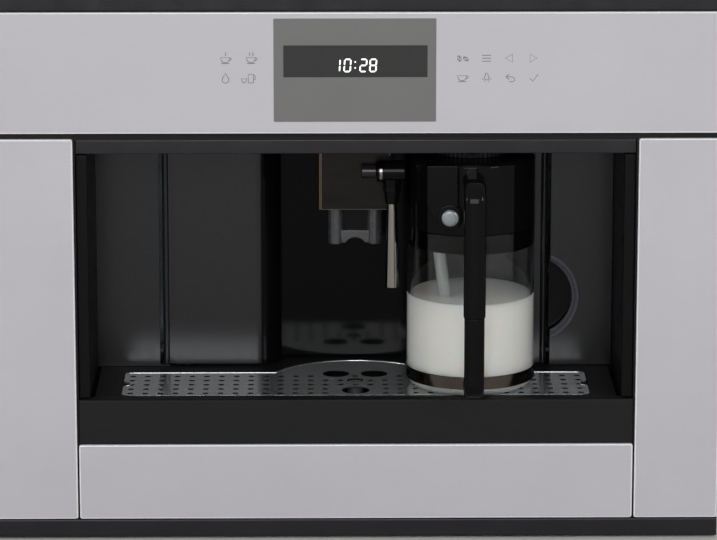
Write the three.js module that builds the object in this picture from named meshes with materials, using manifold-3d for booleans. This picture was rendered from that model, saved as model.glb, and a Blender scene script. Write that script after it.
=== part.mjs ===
// Built-in coffee machine with a milk jug: glass front, dispensing cavity, service door, drip drawer
// and pull-out chassis, on the telescopic rails that are screwed into a furniture niche.
// Millimetres. +X is to the right of someone in front, +Y goes into the niche, +Z is up. The origin is
// the middle of the base plate's underside, on the niche floor.
import * as THREE from "three";
import { mergeVertices } from "three/addons/utils/BufferGeometryUtils.js";
import Module from "manifold-3d";

const wasm = await Module();
wasm.setup();

// ---- clearances -------------------------------------------------------------------------------
const seat = 0.3; // between pieces that are fastened or rest on each other
const play = 0.5; // between rail members, and round turning parts
const slideRoom = 2; // round a drawer or tank in its opening

// ---- overall front ----------------------------------------------------------------------------
const frontWidth = 595;
const frontHeight = 455;
const frontThickness = 22; // from the cabinet's front face to the face of the glass
const glassThickness = 5;
const flankWidth = 68.7; // glass strips left and right of the cavity
const topTrimHeight = 16;
const bottomTrimHeight = 16.7;
const trimLift = 1; // the bottom trim's height above the niche floor
const controlHeight = 98.9;
const seamHeight = 4.6; // dark gap under the control panel
const lowerGlassHeight = 62.9;
const fasciaHeight = 37.4;

// ---- niche, rails and chassis -----------------------------------------------------------------
const seatDepth = 356; // base plate, front to back
const frameOverlap = 17.5; // how far the front covers the cabinet on each side
const nicheClearance = 1.5;
const sheet = 1.5; // sheet steel of rails, pan and covers
const basePlateThickness = 2;
const upstandHeight = 58;
const railHeight = 42;
const railReach = 7.5; // how far a rail's flanges stand in from its web
const panLift = 8; // chassis pan above the niche floor
const coverGap = 5; // top cover below the top of the front
const rearGap = 13; // rear cover in front of the base plate's back edge
const lipDepth = 2.7; // the lip of the front that meets the cabinet

// ---- cavity -----------------------------------------------------------------------------------
const cavityDepth = 115; // face of the glass to the back wall
const sideWallThickness = 9.7;
const wallThickness = 4;
const sidePanelWidth = 52.4; // fixed wall beside the door
const headerHeight = 11.6;
const ceilingThickness = 3;
const pivotPlate = 1.2; // steel brackets that hold the door's pivot pins

// ---- service door -----------------------------------------------------------------------------
const doorThickness = 7;
const doorGroove = 5.5; // between the door's face and its beads
const beadRadius = 2.65;
const pivotPinRadius = 1.3;
const alcoveHalf = 62;
const alcoveRound = 22; // radius where the face turns into the alcove
const alcoveDepth = 30;
const scoopRadius = 36;
const scoopDepth = 18;
const scoopHeight = 60; // centre of the finger scoop above the tray

// ---- spouts -----------------------------------------------------------------------------------
const housingHalf = 29.8;
const housingHeight = 57;
const housingFront = 55; // behind the face of the glass
const housingWall = 3;
const spoutSpacing = 32;
const spoutRadius = 6;
const spoutDepth = 75; // behind the face of the glass
const spoutLength = 32; // below the housing
const milkSpoutX = 30;
const milkSpoutDepth = 45;
const milkSpoutDrop = 22; // the elbow's axis below the cavity's ceiling
const milkSpoutLength = 70;
const elbowRadius = 9;

// ---- drip drawer ------------------------------------------------------------------------------
const drawerFloor = 20;
const basinWall = 6;
const tubSideRoom = 3; // between the tub and the cavity's side walls
const plateThickness = 1.5;
const plateHalf = 193;
const plateFront = 17; // behind the face of the glass
const plateBack = 94;
const bulgeRadius = 75; // the plate's round bulge into the alcove
const holePitchX = 12.4;
const holePitchY = 14;
const holeRadius = 2.5;
const groundsHalf = 134;
const groundsDepth = 103;
const binWall = 2;

// ---- milk jug ---------------------------------------------------------------------------------
const jugRadius = 52.6;
const jugSideRoom = 12.7; // between the milk spout's axis and the jug
const jugBackRoom = 4.4; // between the jug and the cavity's back wall
const jugWall = 2.8;
const jugHeadroom = 3; // above the dial
const lidHeight = 60;
const dialHeight = 5.5;
const lidSkirt = 16;
const bandBottom = 7;
const bandHeight = 10.5;
const gripWidth = 18;
const gripReach = 38; // front of the grip before the face of the glass
const gripThickness = 14;
const gripHeight = 111;

// ---- inside -----------------------------------------------------------------------------------
const shelfThickness = 3;
const tankWidth = 132;
const tankHeight = 160;
const tankWall = 2.5;
const gripPocketDepth = 12;
const tankSetback = 55; // behind the cavity's back wall
const hopperWidth = 150;
const hopperX = 92;
const hopperSetback = 75; // behind the cavity's back wall
const grinderOffset = 65; // grinder axis behind the hopper's front wall
const hopperHeight = 104;
const hopperWall = 2.5;
const grinderRadius = 40;
const grinderHeight = 75;
const motorRadius = 28;
const brewHalf = 50;
const brewX = -10;
const brewHeight = 150;

// ---- stations worked out from the sizes above ---------------------------------------------------
const frontHalf = frontWidth / 2;
const seatHalf = frontHalf - frameOverlap - nicheClearance;
const cabinetY = -seatDepth / 2;
const glassY = cabinetY - frontThickness;
const frameFrontY = glassY + glassThickness + seat;
const frameBackY = cabinetY - lipDepth;
const rearY = seatDepth / 2 - rearGap;
const openingHalf = frontHalf - flankWidth;
const lowerGlassTop = bottomTrimHeight + seat + lowerGlassHeight;
const trayTop = lowerGlassTop + seat + fasciaHeight;
const controlTop = frontHeight - topTrimHeight - seat;
const controlBottom = controlTop - controlHeight;
const flankTop = controlBottom - seamHeight;
const cavityTop = flankTop - headerHeight - 1.6;
const cavityHalf = openingHalf - sideWallThickness - 2 * seat - 1.5;
const wallY = glassY + cavityDepth;
const wallBottom = trayTop + seat + pivotPlate + seat;
const wallTop = cavityTop - 2.2;
const doorHalf = cavityHalf - sidePanelWidth - doorGroove - 2 * beadRadius - 0.8;
const beadX = doorHalf + doorGroove + beadRadius * 0.2;
const beadY = wallY + beadRadius;
const upstandX = seatHalf - sheet;
const railOuterX = upstandX - seat;
const railMidX = railOuterX - sheet - play;
const coverX = railOuterX - sheet - railReach - sheet - play - seat;
const coverInnerX = coverX - sheet;
const coverTop = frontHeight - 2 * coverGap;
const drawerBackY = wallY + alcoveDepth + basinWall + groundsDepth + 2 * binWall + basinWall;
const shelfZ = trayTop + 2;
const shelfTop = shelfZ + shelfThickness;
const jugX = milkSpoutX + jugSideRoom + jugRadius;
const jugY = wallY - jugBackRoom - jugRadius;
const jugBottom = trayTop + seat;
const lidTop = cavityTop - jugHeadroom - dialHeight;
const rimZ = lidTop - lidHeight;
const tankFrontY = wallY + tankSetback;
const hopperFrontY = wallY + hopperSetback;

// ---- finishes -----------------------------------------------------------------------------------
const finish = (color, roughness, metalness = 0, opacity = 1) =>
  new THREE.MeshStandardMaterial({ color, roughness, metalness, opacity, transparent: opacity < 1 });
const mauveGlass = finish(0xb8b5bc, 0.25, 0.2);
const darkTrim = finish(0x2e2d30, 0.3, 0.3);
const blackPlastic = finish(0x1b1b1d, 0.5);
const glossBlack = finish(0x101012, 0.15);
const doorPlastic = finish(0x242427, 0.35);
const zincSteel = finish(0x9a9ca0, 0.45, 0.9);
const brushedSteel = finish(0xa8a6a2, 0.35, 1);
const chrome = finish(0xd4d2cc, 0.12, 1);
const clearGlass = finish(0xdfe6e6, 0.05, 0, 0.35);
const clearPlastic = finish(0xc8d4d8, 0.15, 0, 0.5);
const darkSmoke = finish(0x3a3632, 0.2, 0, 0.6);
const greyPlastic = finish(0x6f7175, 0.5);
const aluminium = finish(0xb9bbbd, 0.4, 0.9);
const boardGreen = finish(0x1f5a36, 0.6);
const displayGrey = finish(0x4a4a4c, 0.3);
const silverPlastic = finish(0xc9cccf, 0.3, 0.3);

// ---- shape helpers ------------------------------------------------------------------------------
// A box between two corners, given as low and high values along each axis.
function block([x0, x1], [y0, y1], [z0, z1]) {
  const box = new THREE.BoxGeometry(x1 - x0, y1 - y0, z1 - z0);
  return box.translate((x0 + x1) / 2, (y0 + y1) / 2, (z0 + z1) / 2);
}

// Round bars along each axis; `sides` is even, so the extent along the other two axes is the full one.
function barZ(x, y, [z0, z1], radius, sides = 24, topRadius = radius) {
  const bar = new THREE.CylinderGeometry(topRadius, radius, z1 - z0, sides);
  return bar.rotateX(Math.PI / 2).translate(x, y, (z0 + z1) / 2);
}
function barY(x, [y0, y1], z, radius, sides = 24) {
  const bar = new THREE.CylinderGeometry(radius, radius, y1 - y0, sides);
  return bar.translate(x, (y0 + y1) / 2, z);
}
function barX([x0, x1], y, z, radius, sides = 24) {
  const bar = new THREE.CylinderGeometry(radius, radius, x1 - x0, sides);
  return bar.rotateZ(Math.PI / 2).translate((x0 + x1) / 2, y, z);
}

// A flat outline pushed along one axis: plan outlines (x, y) rise along Z, front outlines (x, z) go back
// along Y, and side outlines (y, z) go along X.
const extruded = (shape, depth, curveSegments) =>
  new THREE.ExtrudeGeometry(shape, { depth, bevelEnabled: false, curveSegments });
function planSolid(shape, [z0, z1], curveSegments = 8) {
  return extruded(shape, z1 - z0, curveSegments).translate(0, 0, z0);
}
function frontSolid(shape, [y0, y1], curveSegments = 8) {
  return extruded(shape, y1 - y0, curveSegments).rotateX(Math.PI / 2).translate(0, y1, 0);
}
function sideSolid(shape, [x0, x1], curveSegments = 8) {
  const turn = new THREE.Matrix4().set(0, 0, 1, 0, 1, 0, 0, 0, 0, 1, 0, 0, 0, 0, 0, 1);
  return extruded(shape, x1 - x0, curveSegments).applyMatrix4(turn).translate(x0, 0, 0);
}

// A profile of [radius, height] points turned about a vertical axis.
function turned(x, y, profile, segments = 48) {
  const points = profile.map(([radius, height]) => new THREE.Vector2(radius, height));
  return new THREE.LatheGeometry(points, segments).rotateX(Math.PI / 2).translate(x, y, 0);
}

function roundedOutline([x0, x1], [y0, y1], radius) {
  const shape = new THREE.Shape();
  shape.moveTo(x0 + radius, y0);
  shape.lineTo(x1 - radius, y0);
  shape.absarc(x1 - radius, y0 + radius, radius, -Math.PI / 2, 0);
  shape.lineTo(x1, y1 - radius);
  shape.absarc(x1 - radius, y1 - radius, radius, 0, Math.PI / 2);
  shape.lineTo(x0 + radius, y1);
  shape.absarc(x0 + radius, y1 - radius, radius, Math.PI / 2, Math.PI);
  shape.lineTo(x0, y0 + radius);
  shape.absarc(x0 + radius, y0 + radius, radius, Math.PI, 1.5 * Math.PI);
  return shape;
}

// ---- joining and cutting ------------------------------------------------------------------------
function toSolid(geometry) {
  const bare = new THREE.BufferGeometry();
  bare.setAttribute("position", geometry.getAttribute("position"));
  if (geometry.index) bare.setIndex(geometry.index);
  const merged = mergeVertices(bare, 1e-4);
  return new wasm.Manifold(
    new wasm.Mesh({
      numProp: 3,
      vertProperties: merged.attributes.position.array,
      triVerts: new Uint32Array(merged.index.array),
    }),
  );
}
function toGeometry(solid) {
  const made = solid.getMesh();
  const geometry = new THREE.BufferGeometry();
  geometry.setAttribute("position", new THREE.BufferAttribute(made.vertProperties, 3));
  geometry.setIndex(new THREE.BufferAttribute(made.triVerts, 1));
  return geometry;
}
const join = (...pieces) =>
  toGeometry(pieces.map(toSolid).reduce((whole, piece) => whole.add(piece)));
const cut = (body, ...tools) =>
  toGeometry(tools.map(toSolid).reduce((whole, tool) => whole.subtract(tool), toSolid(body)));

// ---- the assembly -------------------------------------------------------------------------------
const machine = new THREE.Group();
function add(group, name, geometry, material) {
  const mesh = new THREE.Mesh(geometry, material);
  mesh.name = name;
  group.add(mesh);
}
const bodyGroup = () => {
  const group = new THREE.Group();
  machine.add(group);
  return group;
};
const sides = [
  ["left", -1],
  ["right", 1],
];
// A range of X on one side of the middle, given from its inner to its outer edge.
const sideRange = (side, inner, outer) => (side < 0 ? [-outer, -inner] : [inner, outer]);

// Base plate screwed to the niche floor, with upstands that carry the rails' outer members.
function nicheBase(group) {
  const screwX = seatHalf - 60;
  const screwY = seatDepth / 2 - 30;
  const upstandY = [cabinetY + 8, seatDepth / 2];
  const plate = join(
    block([-seatHalf, seatHalf], [cabinetY, seatDepth / 2], [0, basePlateThickness]),
    ...sides.map(([, side]) =>
      block(sideRange(side, upstandX, seatHalf), upstandY, [0, basePlateThickness + upstandHeight]),
    ),
  );
  const holes = [];
  for (const x of [-screwX, screwX])
    for (const y of [-screwY, screwY]) holes.push(barZ(x, y, [-1, basePlateThickness + 1], 2.5, 8));
  add(group, "niche_base_plate", cut(plate, ...holes), zincSteel);
}

// One member of a rail: a web with a flange above and below that point inwards or outwards.
function railMember(side, webInner, flangeEdge, [z0, z1]) {
  const y = [cabinetY + 10, rearY];
  const web = block(sideRange(side, webInner, webInner + sheet), y, [z0, z1]);
  const reach = [Math.min(webInner, flangeEdge), Math.max(webInner + sheet, flangeEdge)];
  const lower = block(sideRange(side, ...reach), y, [z0, z0 + sheet]);
  const upper = block(sideRange(side, ...reach), y, [z1 - sheet, z1]);
  return join(web, lower, upper);
}

function rails(fixed, moving, chassis) {
  const outerZ = [panLift + 6, panLift + 6 + railHeight];
  const midZ = [outerZ[0] + sheet + play, outerZ[1] - sheet - play];
  const innerZ = [midZ[0] + sheet + play, midZ[1] - sheet - play];
  const outerWeb = railOuterX - sheet;
  const midWeb = railMidX - sheet;
  for (const [label, side] of sides) {
    add(fixed, `outer_rail_${label}`, railMember(side, outerWeb, outerWeb - railReach, outerZ), zincSteel);
    add(moving, `middle_rail_${label}`, railMember(side, midWeb, midWeb - railReach, midZ), zincSteel);
    const innerWeb = coverX + seat;
    const inner = railMember(side, innerWeb, midWeb - play, innerZ);
    add(chassis, `inner_rail_${label}`, inner, zincSteel);
  }
}

// Chassis pan with turned-up edges and the two runners that the drip drawer slides on.
function chassisPan(group) {
  const pan = { x: coverInnerX - seat, y0: frameBackY + 3, y1: rearY - sheet - seat };
  const runnerX = groundsHalf - 14;
  const pieces = [block([-pan.x, pan.x], [pan.y0, pan.y1], [panLift, panLift + sheet])];
  pieces.push(block([-pan.x, pan.x], [pan.y0, pan.y0 + sheet], [panLift, bottomTrimHeight]));
  pieces.push(block([-pan.x, pan.x], [pan.y1 - sheet, pan.y1], [panLift, panLift + 30]));
  for (const [, side] of sides) {
    pieces.push(block(sideRange(side, pan.x - sheet, pan.x), [pan.y0, pan.y1], [panLift, panLift + 50]));
    const runner = sideRange(side, runnerX, runnerX + 12);
    pieces.push(block(runner, [pan.y0 + 4, drawerBackY], [panLift, drawerFloor - seat]));
  }
  add(group, "chassis_pan", join(...pieces), zincSteel);
}

// Sheet steel covers. The left one is cut out for the water tank, the top one for the bean hopper.
function covers(group) {
  const y = [frameBackY + seat, rearY];
  const z = [panLift, coverTop - sheet - seat];
  const right = block([coverInnerX, coverX], y, z);
  const left = block([-coverX, -coverInnerX], y, z);
  const tankHole = block(
    [-coverX - 1, -coverInnerX + 1],
    [tankFrontY - slideRoom, tankBackY() + slideRoom],
    [shelfTop + seat - slideRoom, shelfTop + seat + tankHeight + slideRoom],
  );
  add(group, "side_cover_left", cut(left, tankHole), zincSteel);
  add(group, "side_cover_right", right, zincSteel);
  const rearZ = [panLift + sheet + seat, coverTop - sheet - seat];
  const rear = block([-coverInnerX + seat, coverInnerX - seat], [rearY - sheet, rearY], rearZ);
  const inletHole = block([inletX - 15, inletX + 15], [rearY - 3, rearY + 3], [inletZ - 11, inletZ + 11]);
  add(group, "rear_cover", cut(rear, inletHole), zincSteel);
  const top = block([-coverX, coverX], y, [coverTop - sheet, coverTop]);
  const hopperHole = block(
    [hopperX - hopperWidth / 2 - slideRoom, hopperX + hopperWidth / 2 + slideRoom],
    [hopperFrontY - slideRoom, hopperBackY() + 7],
    [coverTop - 3, coverTop + 1],
  );
  const knobHole = barZ(knobX, knobY, [coverTop - 3, coverTop + 1], 4 + play, 16);
  add(group, "top_cover", cut(top, hopperHole, knobHole), zincSteel);
}
const inletX = coverInnerX - 62;
const inletZ = 60;
const knobX = hopperX + hopperWidth / 2 + 32;
const knobY = hopperFrontY + 75;
const tankBackY = () => rearY - 45;
const hopperBackY = () => rearY - 15;

// Black plastic carrier behind the glass, with the ribbed strip under the control panel.
function frontFrame(group) {
  const x = frontHalf - 1.5;
  const openingX = openingHalf - 1.5;
  const z0 = bottomTrimHeight + seat;
  const body = block([-x, x], [frameFrontY, frameBackY], [z0, controlTop]);
  const opening = block([-openingX, openingX], [frameFrontY - 1, frameBackY + 1], [z0 - 1, flankTop - 1.5]);
  const window = block(displayX(seat), [frameFrontY - 1, frameBackY + 1], displayZ(seat));
  const lips = sides.map(([, side]) =>
    block(sideRange(side, x - 25, x - 1), [frameBackY - 1, cabinetY], [trayTop, controlTop - 20]),
  );
  const strip = block([-openingX, openingX], [glassY + 3, frameFrontY + 1], [flankTop + 0.6, controlBottom - 1]);
  const grooves = [0, 1].map((i) => {
    const z = flankTop + 1.4 + 1.1 * i;
    return block([-openingX - 1, openingX + 1], [glassY, glassY + 4], [z, z + 0.5]);
  });
  add(group, "front_frame", cut(join(body, strip, ...lips), opening, window, ...grooves), blackPlastic);
}
const displayHalf = 65.4;
const displayHeight = 84.2;
const displayX = (room = 0) => [-displayHalf - room, displayHalf + room];
const displayZ = (room = 0) => [controlTop - 5 - displayHeight - room, controlTop - 5 + room];

function glassPanels(group) {
  const y = [glassY, glassY + glassThickness];
  const pane = (x, z) => frontSolid(roundedOutline(x, z, 1), y, 3);
  add(group, "control_glass", pane([-frontHalf, frontHalf], [controlBottom, controlTop]), mauveGlass);
  for (const [label, side] of sides) {
    const x = sideRange(side, openingHalf, frontHalf);
    add(group, `flank_glass_${label}`, pane(x, [bottomTrimHeight + seat, flankTop]), mauveGlass);
  }
  const display = block(displayX(), [frameFrontY, frameBackY - 2], displayZ());
  add(group, "display_module", display, displayGrey);
}

function trims(group) {
  const y = [glassY + 1, frameBackY];
  const topShape = roundedOutline([y[0], y[1]], [controlTop + seat, frontHeight], 2);
  add(group, "top_trim", sideSolid(topShape, [-frontHalf, frontHalf], 3), darkTrim);
  const bottomShape = roundedOutline([y[0], y[1]], [trimLift, bottomTrimHeight], 2);
  add(group, "bottom_trim", sideSolid(bottomShape, [-frontHalf, frontHalf], 3), darkTrim);
  const bandX = openingHalf - 1.5;
  const bandZ = [cavityTop, flankTop - 1.5 - seat];
  const band = block([-bandX + seat, bandX - seat], [glassY + 7, glassY + 13], bandZ);
  add(group, "header_band", band, darkTrim);
}

// Side walls, ceiling and the two fixed back walls of the cavity. The ceiling and the left wall carry
// the pivot brackets of the service door, and the right wall holds the scoop for opening it.
function cavityShell(group) {
  const openingX = openingHalf - 1.5;
  const wallZ = [wallBottom, wallTop];
  for (const [label, side] of sides) {
    const x = sideRange(side, cavityHalf + seat, openingX - seat);
    const wall = block(x, [frameFrontY, wallY + wallThickness], [trayTop + seat, cavityTop - seat]);
    add(group, `cavity_side_${label}`, wall, blackPlastic);
  }
  const bracketX = [-cavityHalf, -beadX + beadRadius];
  const bracketY = [wallY - 0.5, wallY + wallThickness];
  const pin = (z) => barZ(-beadX, beadY, z, pivotPinRadius, 12);
  const ceilingY = [glassY + 13 + seat, wallY + wallThickness];
  const ceilingZ = [cavityTop, cavityTop + ceilingThickness];
  const ceiling = block([-cavityHalf, cavityHalf], ceilingY, ceilingZ);
  const upperBracket = block(bracketX, bracketY, [wallTop + seat, cavityTop + 1]);
  const upperPin = pin([wallTop - 10, wallTop + 1]);
  add(group, "cavity_ceiling", join(ceiling, upperBracket, upperPin), blackPlastic);

  const fixedInner = doorHalf + doorGroove + 2 * beadRadius + 0.8;
  const leftWall = block([-cavityHalf, -fixedInner], [wallY, wallY + wallThickness], wallZ);
  const lowerBracket = block(bracketX, bracketY, [trayTop + seat, wallBottom - seat]);
  const lowerFoot = block([-cavityHalf, -fixedInner], [wallY, wallY + wallThickness], [trayTop + seat, wallBottom + 1]);
  const lowerPin = pin([wallBottom - 1, wallBottom + 10]);
  add(group, "cavity_wall_left", join(leftWall, lowerBracket, lowerFoot, lowerPin), doorPlastic);

  const scoopX = doorHalf - 3;
  const scoopZ = trayTop + scoopHeight;
  const rightWall = block([fixedInner, cavityHalf], [wallY, wallY + wallThickness], [trayTop + seat, wallTop]);
  const bossOuter = scoopX + scoopRadius + 4;
  const bossZ = [scoopZ - scoopRadius - 4, scoopZ + scoopRadius + 4];
  const boss = block([fixedInner, bossOuter], [wallY + 1, wallY + scoopDepth + 3], bossZ);
  const scoop = barY(scoopX, [wallY - 1, wallY + scoopDepth], scoopZ, scoopRadius, 48);
  add(group, "cavity_wall_right", cut(join(rightWall, boss), scoop), doorPlastic);
}

// Plan outline of the door: a flat face that turns in to the alcove behind the spouts, with a shallow
// groove and a round bead at each side. `inset` moves the outline in from the visible face.
function doorFacePath(shape, inset) {
  const round = alcoveRound - inset;
  const flatEnd = alcoveHalf + alcoveRound;
  const innerHalf = alcoveHalf + inset;
  const y = wallY + inset;
  const backY = wallY + alcoveDepth + inset;
  shape.lineTo(-flatEnd, y);
  shape.absarc(-flatEnd, wallY + alcoveRound, round, -Math.PI / 2, 0);
  shape.lineTo(-innerHalf, backY);
  shape.lineTo(innerHalf, backY);
  shape.absarc(flatEnd, wallY + alcoveRound, round, Math.PI, 1.5 * Math.PI);
}
function doorOutline() {
  const shape = new THREE.Shape();
  shape.moveTo(-doorHalf, wallY);
  doorFacePath(shape, 0);
  shape.lineTo(doorHalf, wallY);
  shape.lineTo(doorHalf, wallY + doorThickness);
  const flatEnd = alcoveHalf + alcoveRound;
  const innerHalf = alcoveHalf + doorThickness;
  const round = alcoveRound - doorThickness;
  shape.lineTo(flatEnd, wallY + doorThickness);
  shape.absarc(flatEnd, wallY + alcoveRound, round, 1.5 * Math.PI, Math.PI, true);
  shape.lineTo(innerHalf, wallY + alcoveDepth + doorThickness);
  shape.lineTo(-innerHalf, wallY + alcoveDepth + doorThickness);
  shape.lineTo(-innerHalf, wallY + alcoveRound);
  shape.absarc(-flatEnd, wallY + alcoveRound, round, 0, -Math.PI / 2, true);
  shape.lineTo(-doorHalf, wallY + doorThickness);
  return shape;
}

function serviceDoor(group) {
  const z = [wallBottom, wallTop];
  const panel = planSolid(doorOutline(), z, 8);
  const pieces = [panel];
  for (const [, side] of sides) {
    pieces.push(barZ(side * beadX, beadY, z, beadRadius, 24));
    const web = sideRange(side, doorHalf - 1, beadX);
    pieces.push(block(web, [wallY + 2.6, wallY + 5], z));
  }
  const port = { x: jugX, z: lidTop - 24 };
  pieces.push(block([port.x - 9, port.x + 9], [wallY - 3, wallY + 1], [port.z - 9, port.z + 9]));
  pieces.push(barY(port.x, [wallY - 11, wallY + 1], port.z, 4, 16));
  const bores = [
    barZ(-beadX, beadY, [wallBottom - 1, wallBottom + 11], pivotPinRadius + seat, 12),
    barZ(-beadX, beadY, [wallTop - 11, wallTop + 1], pivotPinRadius + seat, 12),
  ];
  add(group, "service_door", cut(join(...pieces), ...bores), doorPlastic);

  // Housing of the coffee spout: a box open below, with the lug that carries the milk spout.
  const top = cavityTop - 1;
  const bottom = cavityTop - housingHeight;
  const frontY = glassY + housingFront;
  const outer = block([-housingHalf, housingHalf], [frontY, wallY + alcoveDepth - seat], [bottom, top]);
  const innerHalf = housingHalf - housingWall;
  const hollow = block(
    [-innerHalf, innerHalf],
    [frontY + housingWall, wallY + alcoveDepth - 12],
    [bottom - 1, top - housingWall],
  );
  const lugX = [milkSpoutX - 25, milkSpoutX - 13];
  const lug = block(lugX, [elbowY, frontY + 1], [elbowZ - 6, elbowZ + 6]);
  const lugEye = barX(lugX, elbowY, elbowZ, 6, 24);
  const axle = barX([lugX[0] + 2, milkSpoutX + 7], elbowY, elbowZ, 3, 16);
  add(group, "spout_housing", join(cut(outer, hollow), lug, lugEye, axle), brushedSteel);
}
const elbowY = glassY + milkSpoutDepth;
const elbowZ = cavityTop - milkSpoutDrop;

// Twin coffee spout on its carriage, which slides up and down in the housing.
function coffeeSpout(group) {
  const y = glassY + spoutDepth;
  const bottom = cavityTop - housingHeight - spoutLength;
  const carriageBottom = cavityTop - housingHeight + 3;
  const half = housingHalf - housingWall - play;
  const frontY = glassY + housingFront + housingWall + play;
  const carriage = block([-half, half], [frontY, y + 18], [carriageBottom, carriageBottom + 32]);
  const bridgeX = [-spoutSpacing / 2, spoutSpacing / 2];
  const bridge = block(bridgeX, [y - 3, y + 3], [bottom + 2.5, bottom + 8]);
  const tubes = [-1, 1].map((side) =>
    barZ((side * spoutSpacing) / 2, y, [bottom, carriageBottom + 1], spoutRadius, 24),
  );
  const bores = [-1, 1].map((side) =>
    barZ((side * spoutSpacing) / 2, y, [bottom - 1, carriageBottom + 20], spoutRadius - 2.5, 12),
  );
  const arch = barY(0, [y - 5, y + 5], bottom - 1, 7, 24);
  add(group, "coffee_spout", cut(join(carriage, bridge, ...tubes), arch, ...bores), doorPlastic);
}

// Milk spout: a black elbow that turns on the housing's axle, and the chrome sleeve below it.
function milkSpout(group) {
  const x = milkSpoutX;
  const elbowX = [x - 13 + seat, x + 11];
  const socketBottom = elbowZ - 27;
  const knuckle = barX(elbowX, elbowY, elbowZ, elbowRadius, 24);
  const socket = barZ(x, elbowY, [socketBottom, elbowZ], elbowRadius - 1, 24);
  const bore = barX([x - 20, x + 7 + play], elbowY, elbowZ, 3 + seat, 16);
  add(group, "milk_elbow", cut(join(knuckle, socket), bore), glossBlack);
  const top = socketBottom - seat;
  const bottom = top - milkSpoutLength;
  const sleeve = turned(x, elbowY, [
    [0, bottom + 4],
    [3.4, bottom + 4],
    [3.9, bottom],
    [5.9, bottom],
    [3.9, top - 3],
    [3.4, top],
    [0, top],
  ], 24);
  add(group, "milk_sleeve", sleeve, chrome);
}

// Drip drawer: the fascia and lower glass in front, the tub with its drip basin and the grounds bin.
function plateOutline(grow) {
  const shape = new THREE.Shape();
  const x = plateHalf + grow;
  const y0 = glassY + plateFront - grow;
  const y1 = glassY + plateBack + grow;
  const centreY = glassY + 60;
  const radius = bulgeRadius + grow;
  const start = Math.asin((y1 - centreY) / radius);
  const corner = 8;
  shape.moveTo(-x + corner, y0);
  shape.lineTo(x - corner, y0);
  shape.absarc(x - corner, y0 + corner, corner, -Math.PI / 2, 0);
  shape.lineTo(x, y1 - corner);
  shape.absarc(x - corner, y1 - corner, corner, 0, Math.PI / 2);
  shape.absarc(0, centreY, radius, start, Math.PI - start);
  shape.lineTo(-x + corner, y1);
  shape.absarc(-x + corner, y1 - corner, corner, Math.PI / 2, Math.PI);
  shape.lineTo(-x, y0 + corner);
  shape.absarc(-x + corner, y0 + corner, corner, Math.PI, 1.5 * Math.PI);
  return shape;
}

// The large holes under the spouts: [x, depth behind the glass, radius].
const drainHoles = [
  [-16, 89, 11],
  [16, 89, 11],
  [0, 67, 7],
  [0, 34, 11.5],
];
function dripHoles() {
  const holes = drainHoles.map(([x, depth, radius]) =>
    barZ(x, glassY + depth, [trayTop - 5, trayTop + 1], radius, 24),
  );
  const columns = Math.floor((plateHalf - 5) / holePitchX);
  for (let column = -columns; column <= columns; column++)
    for (let row = 0; row < 5; row++) {
      const x = column * holePitchX;
      const depth = plateFront + 8 + row * holePitchY;
      const free = drainHoles.every(([hx, hd, hr]) => Math.hypot(x - hx, depth - hd) > hr + 5);
      if (free) holes.push(barZ(x, glassY + depth, [trayTop - 5, trayTop + 1], holeRadius, 4));
    }
  return holes;
}

function dripDrawer(group) {
  const faceHalf = openingHalf - 1.5;
  const fasciaY = [glassY + 2, glassY + 14];
  const upper = block([-faceHalf, faceHalf], fasciaY, [lowerGlassTop + seat, trayTop]);
  const carrier = block(
    [-faceHalf + 2, faceHalf - 2],
    [glassY + glassThickness + seat, fasciaY[1]],
    [bottomTrimHeight + 2 * seat, lowerGlassTop + 1],
  );
  add(group, "tray_fascia", join(upper, carrier), blackPlastic);
  const pane = roundedOutline([-faceHalf, faceHalf], [bottomTrimHeight + seat, lowerGlassTop], 1);
  add(group, "lower_glass", frontSolid(pane, [glassY, glassY + glassThickness], 3), mauveGlass);

  const tubHalf = cavityHalf - tubSideRoom;
  const binHalf = groundsHalf + 2;
  const tubY = [fasciaY[1] + seat, wallY + 2];
  const front = block([-tubHalf, tubHalf], tubY, [drawerFloor, trayTop]);
  const binOuter = binHalf + basinWall - 2;
  const rear = block([-binOuter, binOuter], [tubY[1] - 1, drawerBackY], [drawerFloor, trayTop]);
  const recess = planSolid(plateOutline(0.4), [trayTop - plateThickness - seat, trayTop + 1], 12);
  const basin = planSolid(plateOutline(-5), [drawerFloor + 4, trayTop + 1], 12);
  const binFrontY = drawerBackY - basinWall - groundsDepth - 2 * binWall;
  const pocket = block(
    [-binHalf, binHalf],
    [binFrontY, drawerBackY - basinWall],
    [drawerFloor + 4, trayTop + 1],
  );
  add(group, "drip_tub", cut(join(front, rear), recess, basin, pocket), blackPlastic);

  const plate = planSolid(plateOutline(0), [trayTop - plateThickness, trayTop], 12);
  add(group, "drip_plate", cut(plate, ...dripHoles()), brushedSteel);

  const binY = [binFrontY + binWall, binFrontY + binWall + groundsDepth];
  const binZ = [drawerFloor + 4 + seat, trayTop - 2];
  const bin = block([-groundsHalf, groundsHalf], binY, binZ);
  const inside = block(
    [-groundsHalf + binWall, groundsHalf - binWall],
    [binY[0] + binWall, binY[1] - binWall],
    [binZ[0] + binWall, binZ[1] + 1],
  );
  add(group, "grounds_bin", cut(bin, inside), greyPlastic);
}

function trayFloat(group) {
  const [x, depth, radius] = drainHoles[2];
  const y = glassY + depth;
  const stem = barZ(x, y, [trayTop - 44, trayTop - 1.7], radius - 0.6, 20);
  const disc = barZ(x, y, [trayTop - 52, trayTop - 40], 15, 20);
  add(group, "tray_float", join(stem, disc), greyPlastic);
}

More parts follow.
